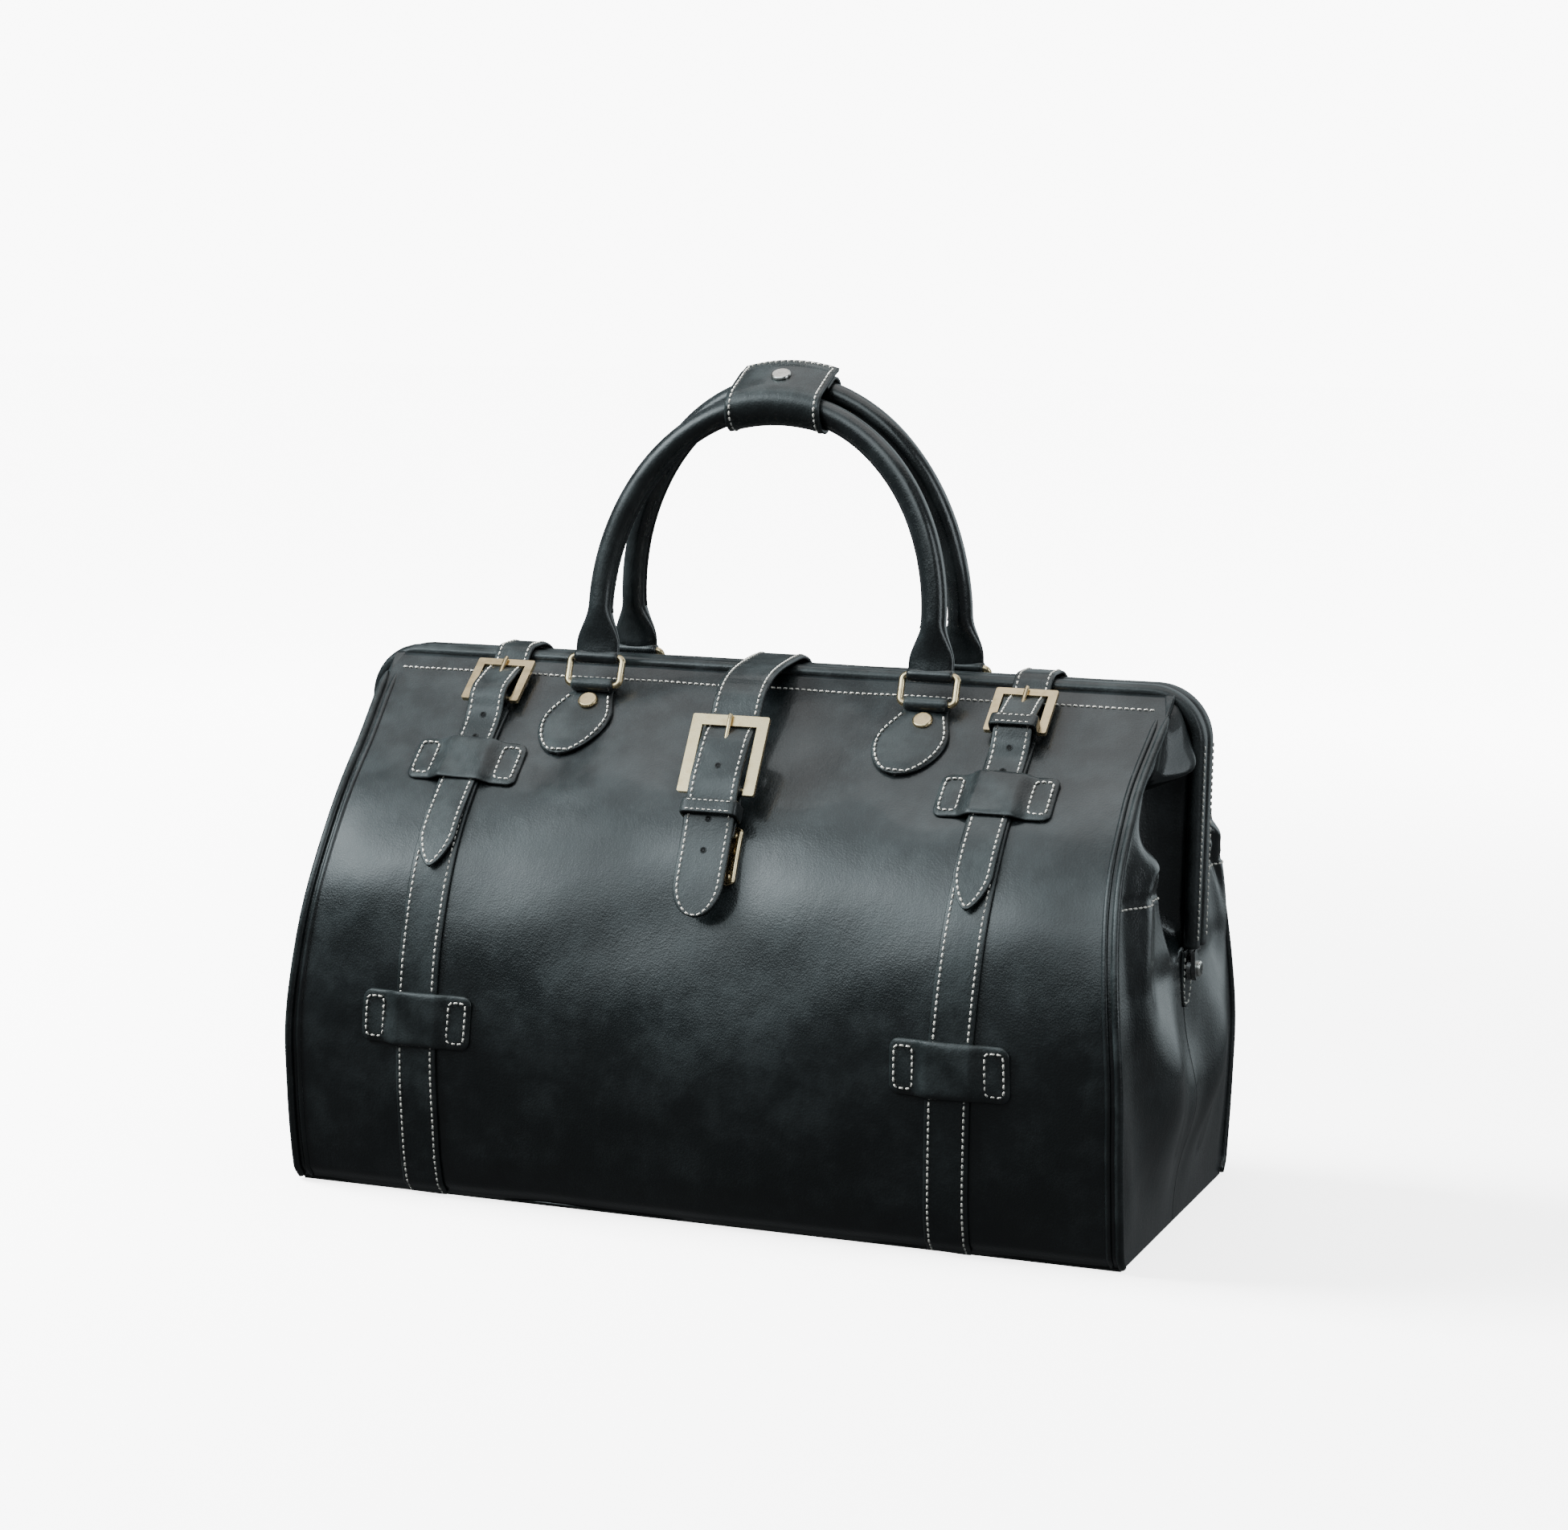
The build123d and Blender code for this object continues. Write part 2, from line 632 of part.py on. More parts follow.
def centre_tip():
    """The centre strap's front end: over the jaws, under the buckle's top bar, over its heel, down to the tip."""
    over = heel_radius + chape_wall + 0.6 + strap_leather / 2
    rest = -heel_lift + skin_gap + 1.5 * strap_leather + 0.8
    heel = centre_heel_along
    points = [
        (crest_edge + 5.4, crest),
        (crest_edge - 6, crest - 0.6),
        at_centre(-heel + 17, -4.6),
        at_centre(-heel, -buckle_plate / 2 - strap_leather / 2 - 0.6),
        at_centre(0, -0.6),
        at_centre(heel, over),
        at_centre(heel - 12, over - 2.4),
        at_centre(heel - 28, rest),
        on_skin(centre_tip_height, 5),
    ]
    tip = ribbon(points, strap_leather, centre_width, 0)
    keep = tip_cutter(0, centre_tip_height + 1, centre_width, tip_point)
    tip = tip & keep
    tip = tip - centre_seat * Pos(0, heel + 10.5, 0) * Box(4.4 * prong_radius, 25, 16)
    for along in (-26, -40):
        tip = tip - centre_seat * Pos(0, heel + along, 0) * Cylinder(hole_radius, 30)
    return tip


def centre_loop():
    """The narrow leather band round the centre strap and the tab under it, just below the buckle."""
    low = -heel_lift + skin_gap - 0.3 - loop_wall
    high = heel_radius + chape_wall + 0.9 + strap_leather + loop_wall
    width = centre_width + 0.6
    place = Pos(0, centre_heel_along - 14, (low + high) / 2)
    outer = Box(width + 2 * loop_wall, loop_band, high - low)
    hollow = Box(width, 2 * loop_band, high - low - 2 * loop_wall)
    return centre_seat * place * (fillet(outer.edges().filter_by(Axis.Y), 1.5) - hollow)


def lock():
    prism = extrude(seat(0, lock_height) * RectangleRounded(lock_width, lock_length, 2.5), amount=20, both=True)
    case = band(skin_gap, skin_gap + lock_plate, 2 * lock_width) & prism
    node("lock_case", case)
    place = Pos(0, centre_heel_along - centre_tail + tongue_length / 2, -heel_lift + 0.5 * skin_gap - tongue_plate)
    tongue = Box(tongue_width, tongue_length, tongue_plate, align=(Align.CENTER, Align.CENTER, Align.MIN))
    node("lock_tongue", centre_seat * place * tongue)


def centre():
    node("centre_over_strap", over_strap(60, 0, centre_width, strap_leather))
    node("centre_tip", centre_tip())
    length, width, bar = centre_buckle_length, centre_buckle_width, centre_buckle_band
    node("centre_buckle", buckle(centre_seat, width, length, bar))
    node("centre_prong", prong(centre_seat, length, bar))
    node("centre_tab", chape(centre_seat, centre_width - 1, length, bar, heel_lift, centre_tail))
    node("centre_loop", centre_loop())
    lock()


def main():
    os.makedirs("parts", exist_ok=True)
    tub()
    piping()
    hinges()

    cover, bore = jaw_cover()
    top = jaw_leather() - cover
    wing = gusset(cover)
    wings = [wing, wing.mirror(Plane.YZ)]
    for name, turn, side in (("front", lambda s: s, 1), ("back", to_back, -1)):
        node(f"{name}_jaw_cover", turn(cover - bore))
        node(f"{name}_jaw_core", turn(jaw_core_bar(side)))
        node(f"{name}_panel_top", turn(top))
        node(f"{name}_gussets", *[turn(w) for w in wings])
        node(f"{name}_lining_top", turn(top_lining()))

    ring_x = handle_spacing / 2
    for name, turn in (("front", lambda s: s), ("back", to_back)):
        for label, x in (("left", -ring_x), ("right", ring_x)):
            node(f"{name}_ring_{label}", turn(ring(x)))
        node(f"{name}_handle_tabs", *[turn(tab(x)) for x in (-ring_x, ring_x)])
        node(f"{name}_tab_rivets", *[turn(tab_rivet(x)) for x in (-ring_x, ring_x)])
    node("front_handle", handle(front_handle_top, front_handle_offset))
    node("back_handle", to_back(handle(back_handle_top, back_handle_offset)))
    wrap()

    straps = (("left", -left_strap_out), ("right", right_strap_out))
    high_keeper = body_height - high_keeper_drop
    for name, turn in (("front", lambda s: s), ("back", to_back)):
        for label, height in (("low", low_keeper_height), ("high", high_keeper)):
            pair = [turn(keeper(strap_middle(x, height), height)) for _, x in straps]
            node(f"{name}_{label}_keepers", *pair)
    chapes = []
    front_stop = on_skin(body_height - buckle_drop, 0, side_heel_along - 15)[1]
    back_stop = body_height - over_strap_start - 3
    for label, x in straps:
        node(f"front_strap_{label}", strap_run(x, front_stop))
        node(f"back_strap_{label}", to_back(strap_run(x, back_stop)))
        node(f"over_strap_{label}", over_strap(over_strap_start, x, tip_width, tip_leather))
        node(f"strap_tip_{label}", side_tip(x))
        place = seat(x, body_height - buckle_drop, heel_lift)
        node(f"buckle_{label}", buckle(place, buckle_width, buckle_length, buckle_band))
        node(f"prong_{label}", prong(place, buckle_length, buckle_band))
        chapes.append(chape(place, tip_width - 1, buckle_length, buckle_band, heel_lift, 14))
    node("buckle_chapes", *chapes)
    centre()


if __name__ == "__main__":
    main()
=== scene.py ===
"""The doctor bag's looks: soft leather shells with seams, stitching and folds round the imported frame."""

import json
import math

import bmesh
import bpy
import numpy as np
from mathutils import Matrix, Vector


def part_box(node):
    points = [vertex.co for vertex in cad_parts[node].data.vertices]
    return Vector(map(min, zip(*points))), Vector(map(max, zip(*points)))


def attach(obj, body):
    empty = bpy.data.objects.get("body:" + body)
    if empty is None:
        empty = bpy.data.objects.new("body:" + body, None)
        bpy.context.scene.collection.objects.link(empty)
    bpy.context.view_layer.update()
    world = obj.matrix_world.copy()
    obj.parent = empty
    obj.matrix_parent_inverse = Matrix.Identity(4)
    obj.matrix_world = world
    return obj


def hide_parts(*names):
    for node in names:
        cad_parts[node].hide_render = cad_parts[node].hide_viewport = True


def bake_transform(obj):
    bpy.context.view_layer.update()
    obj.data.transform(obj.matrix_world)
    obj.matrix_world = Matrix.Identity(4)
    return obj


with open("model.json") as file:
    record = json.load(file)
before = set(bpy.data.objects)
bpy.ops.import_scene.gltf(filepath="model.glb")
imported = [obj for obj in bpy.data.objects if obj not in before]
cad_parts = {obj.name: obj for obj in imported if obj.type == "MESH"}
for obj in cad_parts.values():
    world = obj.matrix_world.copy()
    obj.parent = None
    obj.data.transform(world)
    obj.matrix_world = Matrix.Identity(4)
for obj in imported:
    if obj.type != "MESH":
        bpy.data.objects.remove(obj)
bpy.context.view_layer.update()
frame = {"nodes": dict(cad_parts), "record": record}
BACK, FRONT = 1.0, -1.0
SIDES = (("front", FRONT), ("back", BACK))
ENDS = (("left", -1.0), ("right", 1.0))

# ---- sizes from the frame ----
jaw_low, jaw_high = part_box("front_jaw_cover")
binding = 0.009
top_z = jaw_high.z
belly_y = -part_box("front_panel")[0].y
base_y = -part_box("base_panel")[0].y
half_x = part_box("front_panel")[1].x
joint_at = {joint["name"]: joint["pos_m"] for joint in frame["record"]["behaviour"]["joints"]}
hinge_z = joint_at["jaw_front"][2]
leg_x = jaw_high.x - binding / 2
leg_low = jaw_low.z
jaw_y = (jaw_low.y + jaw_high.y) / 2
jaw_deep = jaw_high.y - jaw_low.y
bar_z = top_z - binding / 2
corner = 0.028


def middle_x(node):
    low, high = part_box(node)
    return (low.x + high.x) / 2


strap_top = {end: middle_x("buckle_" + end) for end, _ in ENDS}
strap_foot = {end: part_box("front_strap_" + end)[0].x + 0.013 for end, _ in ENDS}
ring_x = middle_x("front_ring_right")

# ---- thicknesses and places that several pieces share ----
leather = 0.0022
cloth_thick = 0.0006
pitch = 0.0037
low_keeper_z = 0.107
high_keeper_z = top_z - 0.062
buckle_z = top_z - 0.021
X_AXIS = np.array([1.0, 0.0, 0.0])


# ---- numbers ----
def smooth(t):
    """0 below 0, 1 above 1 and an S-shaped rise between."""
    t = np.clip(t, 0.0, 1.0)
    return t * t * (3 - 2 * t)


def bump(t, width):
    """A bell of height 1 at t = 0."""
    return np.exp(-((t / width) ** 2))


def squared(v, power):
    """The same sign, with the size raised to a power: below 1 it makes a round section squarer."""
    return np.sign(v) * np.abs(v) ** power


def run_of(line):
    """How far along a line each of its points is."""
    return np.concatenate([[0], np.cumsum(np.linalg.norm(np.diff(line, axis=0), axis=1))])


def unit(v):
    return v / np.maximum(np.linalg.norm(v, axis=-1, keepdims=True), 1e-12)


def smooth_line(points, count=400):
    """Evenly spaced points on the natural cubic curve through a few points, spaced by chord length."""
    p = np.array(points, float)
    t = run_of(p)
    h = np.diff(t)
    n = len(p)
    a, b = np.eye(n), np.zeros((n, p.shape[1]))
    for i in range(1, n - 1):
        a[i, i - 1 : i + 2] = h[i - 1], 2 * (h[i - 1] + h[i]), h[i]
        b[i] = 6 * ((p[i + 1] - p[i]) / h[i] - (p[i] - p[i - 1]) / h[i - 1])
    m = np.linalg.solve(a, b)
    x = np.linspace(0, t[-1], 8 * count)
    k = np.clip(np.searchsorted(t, x, side="right") - 1, 0, n - 2)
    u, w, hk = (x - t[k])[:, None], (t[k + 1] - x)[:, None], h[k][:, None]
    fine = (m[k] * w**3 + m[k + 1] * u**3) / (6 * hk)
    fine += (p[k] / hk - m[k] * hk / 6) * w + (p[k + 1] / hk - m[k + 1] * hk / 6) * u
    return even(fine, count)


def even(line, count):
    """The same line with evenly spaced points."""
    line = np.array(line, float)
    s = run_of(line)
    x = np.linspace(0, s[-1], count)
    return np.stack([np.interp(x, s, c) for c in line.T], axis=1)


# ---- the bag's surfaces ----
profile = smooth_line(
    [
        (base_y - 0.0005, -0.004),
        (belly_y, 0.1),
        (0.121, top_z - 0.123),
        (0.077, top_z - 0.061),
        (-jaw_y + jaw_deep / 2, top_z - 0.0054),
    ],
    600,
)
profile = profile[profile[:, 1] >= 0.0]
profile_s = run_of(profile)
skin_length = profile_s[-1]
profile_s = profile_s / skin_length
profile_t = unit(np.gradient(profile, axis=0))


def share(z):
    """How far up the skin's line a height lies, from 0 at the base to 1 at the jaw."""
    return np.interp(z, profile[:, 1], profile_s)


def height_at(s):
    """The height at a share of the way up the skin's line."""
    return np.interp(s, profile_s, profile[:, 1])


def skin(s):
    """The skin's line at a share of the way up: how far out and how high, then its direction."""
    place = np.interp(s, profile_s, profile[:, 0]), height_at(s)
    return *place, np.interp(s, profile_s, profile_t[:, 0]), np.interp(s, profile_s, profile_t[:, 1])


def end_dip(z):
    """How far the end seams come in from the bag's full length at a height."""
    return 0.012 * smooth((z - 0.08) / 0.15) - 0.005 * smooth((z - 0.25) / 0.055)


def relief(x, z):
    """The leather's own fullness: a crown between the ends, a hollow middle, hanging folds and slow waves."""
    crown = 0.0035 * (1 - np.abs(x / half_x) ** 5) * smooth((0.27 - z) / 0.05) * smooth(z / 0.03)
    hollow = -0.0092 * bump(x, 0.115) * bump(z - 0.170, 0.058)
    shoulders = 0.0026 * (bump(np.abs(x) - 0.205, 0.045)) * bump(z - 0.195, 0.05)
    hang = bump(z - 0.262, 0.03) * bump(x, 0.2) * smooth((0.2 - np.abs(x)) / 0.05)
    folds = 0.0016 * hang * np.sin(2 * math.pi * (x / 0.083 + 2.2 * np.abs(z - 0.3)) + 0.7)
    waves = 0.0009 * np.sin(31 * x + 12 * z + 0.4) * np.sin(22 * z - 9 * x + 1.1) * smooth((0.29 - z) / 0.04)
    waves += 0.0005 * np.sin(67 * x - 41 * z + 2.0) * np.sin(53 * z + 20 * x) * smooth((0.27 - z) / 0.05)
    tucked = -0.0045 * (1 - smooth(z / 0.010))
    return crown + hollow + shoulders + folds + waves + tucked


def spread(x, z):
    """The shell's own x for a piece that lies at x, because the end seams draw the leather in."""
    return x / (1 - end_dip(z) / half_x)


def strap_middle(end, z):
    """Where a side strap's middle lies along X at a height."""
    return strap_foot[end] + (strap_top[end] - strap_foot[end]) * z / buckle_z


def shell(x, s, lift=0.0, side=FRONT):
    """The front or back leather at x along the bag and share s up the skin, lift above its surface."""
    x, s = np.broadcast_arrays(np.asarray(x, float), np.asarray(s, float))
    y, z, ty, tz = skin(s)
    d = relief(x * (1.0 if side < 0 else -1.0), z) + lift
    px = x * (1 - end_dip(z) / half_x)
    return np.stack([px, side * (y + tz * d), np.maximum(z - ty * d, 0.0)], axis=-1)


def shell_normal(x, s, side=FRONT):
    """Outwards from the leather, from its slopes."""
    e = 0.002
    across = shell(x + e, s, 0, side) - shell(x - e, s, 0, side)
    up = shell(x, np.minimum(s + e, 1), 0, side) - shell(x, np.maximum(s - e, 0), 0, side)
    return unit(np.cross(across, up)) * (-1.0 if side > 0 else 1.0)


def rounded_reach(v, wide, tall, radius):
    """Half the width of a rectangle with rounded corners, at v from -1 to 1 up it."""
    past = np.clip(np.abs(v) * tall / 2 - (tall / 2 - radius), 0, radius)
    return wide / 2 - radius + np.sqrt(radius**2 - past**2 + 1e-10)


def weight(points):
    """How far leather at a height follows its jaw."""
    t = np.clip((points[..., 2] - 0.016) / 0.197, 0, 1)
    return t - 0.3 * np.sin(2 * math.pi * t) / (2 * math.pi)


# ---- meshes ----
def linked(name, data):
    """A new object in the scene."""
    thing = bpy.data.objects.new(name, data)
    bpy.context.collection.objects.link(thing)
    return thing


def corners(piece):
    """A piece's points."""
    at = np.empty(len(piece.data.vertices) * 3)
    piece.data.vertices.foreach_get("co", at)
    return at.reshape(-1, 3)


def mesh(name, points, faces, uv=None):
    """A smooth mesh from points and a list or an array of faces."""
    data = bpy.data.meshes.new(name)
    faces = faces if isinstance(faces, list) else faces.tolist()
    data.from_pydata(np.asarray(points).reshape(-1, 3), [], faces)
    data.polygons.foreach_set("use_smooth", np.ones(len(data.polygons), bool))
    if uv is not None:
        layer = data.uv_layers.new(name="UVMap")
        index = np.empty(len(data.loops), int)
        data.loops.foreach_get("vertex_index", index)
        layer.data.foreach_set("uv", np.asarray(uv, float).reshape(-1, 2)[index].ravel())
    return linked(name, data)


def quads(rows, columns, close_rows=False, close_columns=False):
    """The faces of a grid of points, counted row by row."""
    r = np.arange(rows if close_rows else rows - 1)[:, None]
    c = np.arange(columns if close_columns else columns - 1)[None, :]
    r2, c2 = (r + 1) % rows, (c + 1) % columns
    return np.stack(
        [r * columns + c, r * columns + c2, r2 * columns + c2, r2 * columns + c], axis=-1
    ).reshape(-1, 4)


def slab(name, outer, thickness, flip=False, normals=None):
    """A closed sheet: an outer grid, the same grid moved inwards by a thickness, and walls round its edge."""
    rows, columns = outer.shape[:2]
    if normals is None:
        normals = unit(np.cross(np.gradient(outer, axis=1), np.gradient(outer, axis=0)))
        normals = -normals if flip else normals
    inner = outer - normals * thickness
    inner[..., 2] = np.maximum(inner[..., 2], 0.0)
    faces = quads(rows, columns)
    total = rows * columns
    border = np.concatenate(
        [
            np.arange(columns - 1),
            np.arange(rows - 1) * columns + columns - 1,
            np.arange(total - 1, total - columns, -1),
            np.arange(rows - 1, 0, -1) * columns,
        ]
    )
    after = np.roll(border, -1)
    walls = np.stack([after, border, border + total, after + total], axis=-1)
    every = np.concatenate([faces, faces[:, ::-1] + total, walls])
    if flip:
        every = every[:, ::-1]
    return mesh(name, np.concatenate([outer.reshape(-1, 3), inner.reshape(-1, 3)]), every)


def frames(line, up):
    """Along, side and up directions at each point of a line, from a rough up."""
    along = unit(np.gradient(line, axis=0))
    side = unit(np.cross(along, up))
    return along, side, np.cross(side, along)


def sweep(name, line, up, section, scale=None, close=False):
    """Carries a closed section of (side, up) points along a line, scaled by (side, up) at each point."""
    _, side, over = frames(line, up)
    if close:
        along = unit(np.roll(line, -1, axis=0) - np.roll(line, 1, axis=0))
        side = unit(np.cross(along, up))
        over = np.cross(side, along)
    size = np.ones((len(line), 2)) if scale is None else scale
    points = line[:, None] + side[:, None] * (section[None, :, :1] * size[:, None, :1])
    points = points + over[:, None] * (section[None, :, 1:] * size[:, None, 1:])
    rows, columns = points.shape[:2]
    faces = quads(rows, columns, close, True)
    flat = points.reshape(-1, 3)
    if not close:
        ends = np.stack([points[0].mean(0), points[-1].mean(0)])
        c = np.arange(columns)
        first = np.stack([(c + 1) % columns, c, np.full(columns, len(flat))], axis=-1)
        last = (rows - 1) * columns + np.stack([c, (c + 1) % columns, np.full(columns, 0)], axis=-1)
        last[:, 2] = len(flat) + 1
        flat = np.concatenate([flat, ends])
        faces = faces.tolist() + first.tolist() + last.tolist()
        return ragged(name, flat, faces)
    return mesh(name, flat, faces)


def ragged(name, points, faces):
    """A mesh whose faces have unequal counts of corners, turned outwards."""
    piece = mesh(name, points, faces)
    tidy_normals(piece)
    return piece


def tidy_normals(piece):
    """Turns every face outwards."""
    b = bmesh.new()
    b.from_mesh(piece.data)
    bmesh.ops.remove_doubles(b, verts=b.verts, dist=1e-7)
    bmesh.ops.recalc_face_normals(b, faces=b.faces)
    b.to_mesh(piece.data)
    b.free()


def ring_of(count, power=2.0):
    """A closed section of half-size 1: a circle at power 2, and squarer with rounder corners above."""
    a = np.linspace(0, 2 * math.pi, count, endpoint=False)
    c, s = np.cos(a), np.sin(a)
    return np.stack([squared(c, 2 / power), squared(s, 2 / power)], axis=1)


def tube(name, line, radius, sides=14, up=(0.0, 0.0, 1.0), close=False):
    line = np.asarray(line, float)
    size = np.ones((len(line), 2)) * np.asarray(radius, float).reshape(-1, 1)
    rough = np.broadcast_to(np.asarray(up, float), line.shape)
    return sweep(name, line, rough, ring_of(sides), size, close)


def strap(name, line, up, width, thickness, tip=0.0, tip_power=2.0):
    """A strip with rounded edges along a line, narrowing to a rounded tip over its last stretch."""
    s = run_of(line)
    left = s[-1] - s
    narrow = np.ones(len(line))
    if tip:
        t = np.clip(left / tip, 0, 1)
        narrow = np.maximum((1 - (1 - t) ** tip_power) ** (1 / tip_power), 0.04)
    scale = np.stack([narrow * width / 2, np.full(len(line), thickness / 2)], axis=1)
    return sweep(name, line, up, ring_of(28, 6.0), scale), narrow


def stitches(name, runs, spacing=pitch, long=0.0026, thick=0.00056):
    """Thread along lines of (points, normals): one short rounded bar for each stitch, sunk at its ends."""
    around = np.linspace(0, 2 * math.pi, 6, endpoint=False)
    stations = np.array([[-0.5, 0.55], [-0.36, 1.0], [0.36, 1.0], [0.5, 0.55]])
    shape = np.stack(
        [
            np.repeat(stations[:, 0], 6) * long,
            np.tile(np.cos(around), 4) * np.repeat(stations[:, 1], 6) * thick,
            np.tile(np.sin(around), 4) * np.repeat(stations[:, 1], 6) * thick,
        ],
        axis=1,
    )
    shape[:, 2] -= np.repeat([0.8, 0.1, 0.1, 0.8], 6) * thick
    tube_faces = quads(4, 6, False, True)
    caps = [np.array([[5, 4, 3, 2], [5, 2, 1, 0]]), np.array([[18, 19, 20, 21], [18, 21, 22, 23]])]
    one = np.concatenate([tube_faces[:, ::-1]] + [c[:, ::-1] for c in caps])
    every_point, every_face, count = [], [], 0
    for line, normal in runs:
        line, normal = np.asarray(line), np.asarray(normal)
        s = run_of(line)
        total = float(s[-1])
        n = max(int(total / spacing), 1)
        at = (np.arange(n) + 0.5) * total / n
        step = spacing * 0.25
        get = lambda q, d: np.stack([np.interp(d, s, c) for c in q.T], axis=1)
        middle, up = get(line, at), unit(get(normal, at))
        along = unit(get(line, np.minimum(at + step, total)) - get(line, np.maximum(at - step, 0)))
        side = unit(np.cross(up, along))
        p = middle[:, None] + along[:, None] * shape[None, :, :1]
        p = p + side[:, None] * shape[None, :, 1:2] + up[:, None] * shape[None, :, 2:]
        every_point.append(p.reshape(-1, 3))
        every_face.append((one[None] + (np.arange(n) * 24)[:, None, None]).reshape(-1, 4) + count)
        count += n * 24
    return mesh(name, np.concatenate(every_point), np.concatenate(every_face))


# ---- riding ----
def jaw_of(side):
    return ("front" if side < 0 else "back") + "_jaw"


def hang(piece, side, finish, slot, weights=None):
    """For a piece of the leather between the tub and its jaw: bakes its place into its points and gives it
    its finish.
    """
    jaw_of(side)
    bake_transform(piece)
    w = weight(corners(piece)) if weights is None else weights
    dress(piece, finish)


def sit(piece, body, finish):
    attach(piece, body)
    dress(piece, finish)


def dress(piece, finish):
    piece.data.materials.clear()
    piece.data.materials.append(finish)


# ---- finishes ----
class Value:
    """A shader socket that can be used in sums."""

    def __init__(self, finish, socket):
        self.finish, self.socket = finish, socket

    def _math(self, operation, *terms):
        return self.finish.add("ShaderNodeMath", {"operation": operation}, dict(enumerate(terms)))

    def __add__(self, other):
        return self._math("ADD", self, other)

    def __radd__(self, other):
        return self._math("ADD", other, self)

    def __sub__(self, other):
        return self._math("SUBTRACT", self, other)

    def __rsub__(self, other):
        return self._math("SUBTRACT", other, self)

    def __mul__(self, other):
        return self._math("MULTIPLY", self, other)

    def __rmul__(self, other):
        return self._math("MULTIPLY", other, self)

    def between(self, low, high):
        """0 below low, 1 above high, and a soft ramp between."""
        settings = {"interpolation_type": "SMOOTHSTEP"}
        return self.finish.add("ShaderNodeMapRange", settings, {0: self, 1: low, 2: high})


class Finish:
    """A material with one Principled shader."""

    def __init__(self, name, **constants):
        self.material = bpy.data.materials.new(name)
        self.material.use_nodes = True
        self.tree = self.material.node_tree
        self.shader = self.tree.nodes["Principled BSDF"]
        for key, value in constants.items():
            self.shader.inputs[key.replace("_", " ")].default_value = value

    def add(self, kind, settings, values, output=0):
        """Any other node: its settings first, then the values or links of its sockets."""
        node = self.tree.nodes.new(kind)
        for key, value in settings.items():
            setattr(node, key, value)
        for key, value in values.items():
            if isinstance(value, Value):
                self.tree.links.new(value.socket, node.inputs[key])
            else:
                node.inputs[key].default_value = value
        return Value(self, node.outputs[output])

    def place(self):
        return self.add("ShaderNodeTexCoord", {}, {}, "Object")

    def noise(self, at, scale, detail=3.0, rough=0.55):
        values = {"Vector": at, "Scale": scale, "Detail": detail, "Roughness": rough}
        return self.add("ShaderNodeTexNoise", {}, values)

    def cells(self, at, scale):
        values = {"Vector": at, "Scale": scale}
        return self.add("ShaderNodeTexVoronoi", {"feature": "F1"}, values, "Distance")

    def stretched(self, at, scale):
        return self.add("ShaderNodeMapping", {}, {"Vector": at, "Scale": scale})

    def mix(self, factor, a, b):
        return self.add("ShaderNodeMix", {"data_type": "RGBA"}, {0: factor, 6: a, 7: b}, 2)

    def feed(self, socket, value):
        self.tree.links.new(value.socket, self.shader.inputs[socket])

    def bump(self, *layers):
        """Heights in metres of (value, distance), one over the other."""
        normal = None
        for value, distance in layers:
            inputs = {"Height": value, "Distance": distance, "Strength": 1.0}
            if normal is not None:
                inputs["Normal"] = normal
            normal = self.add("ShaderNodeBump", {}, inputs)
        self.feed("Normal", normal)


def colour(r, g, b):
    return (r, g, b, 1.0)


def leather_finish(name, dark, pale, gloss, grain, crease, coat):
    """Polished hide: pores and cells, broad creases, and a polish that is rubbed thin in places."""
    f = Finish(name, Coat_Roughness=0.12, IOR=1.5)
    at = f.place()
    broad = f.noise(at, 9.0, 3.0)
    cloud = f.noise(at, 46.0, 4.0, 0.6)
    wrinkle = f.noise(f.stretched(at, (1.0, 1.0, 0.45)), 90.0, 5.0, 0.62)
    fine_cells = f.cells(at, 900.0)
    pores = f.noise(at, 2300.0, 2.0)
    f.feed("Base Color", f.mix(cloud.between(0.38, 0.72), dark, pale))
    f.feed("Roughness", gloss + 0.13 * broad.between(0.35, 0.7) + 0.10 * cloud.between(0.4, 0.75))
    f.feed("Coat Weight", coat - coat * 0.55 * broad.between(0.4, 0.75))
    f.bump((wrinkle.between(0.3, 0.75), crease), (fine_cells, grain), (pores, grain * 0.35))
    return f.material


def metal_finish(name, tint, worn, rough):
    """Plated metal: fine brushing, small dents and a duller bloom in patches."""
    f = Finish(name, Metallic=1.0)
    at = f.place()
    cloud = f.noise(at, 160.0, 4.0, 0.6)
    brushed = f.noise(f.stretched(at, (0.12, 1.0, 1.0)), 1400.0, 3.0)
    f.feed("Base Color", f.mix(cloud.between(0.42, 0.75), tint, worn))
    f.feed("Roughness", rough + 0.16 * cloud.between(0.35, 0.8) + 0.06 * brushed)
    f.bump((brushed, 0.00001), (cloud, 0.00004))
    return f.material


def thread_finish():
    f = Finish("waxed_thread", Roughness=0.6)
    at = f.place()
    twist = f.noise(at, 1500.0, 2.0)
    f.feed("Base Color", f.mix(twist.between(0.35, 0.65), colour(0.47, 0.47, 0.43), colour(0.70, 0.69, 0.63)))
    f.bump((twist, 0.00012))
    return f.material


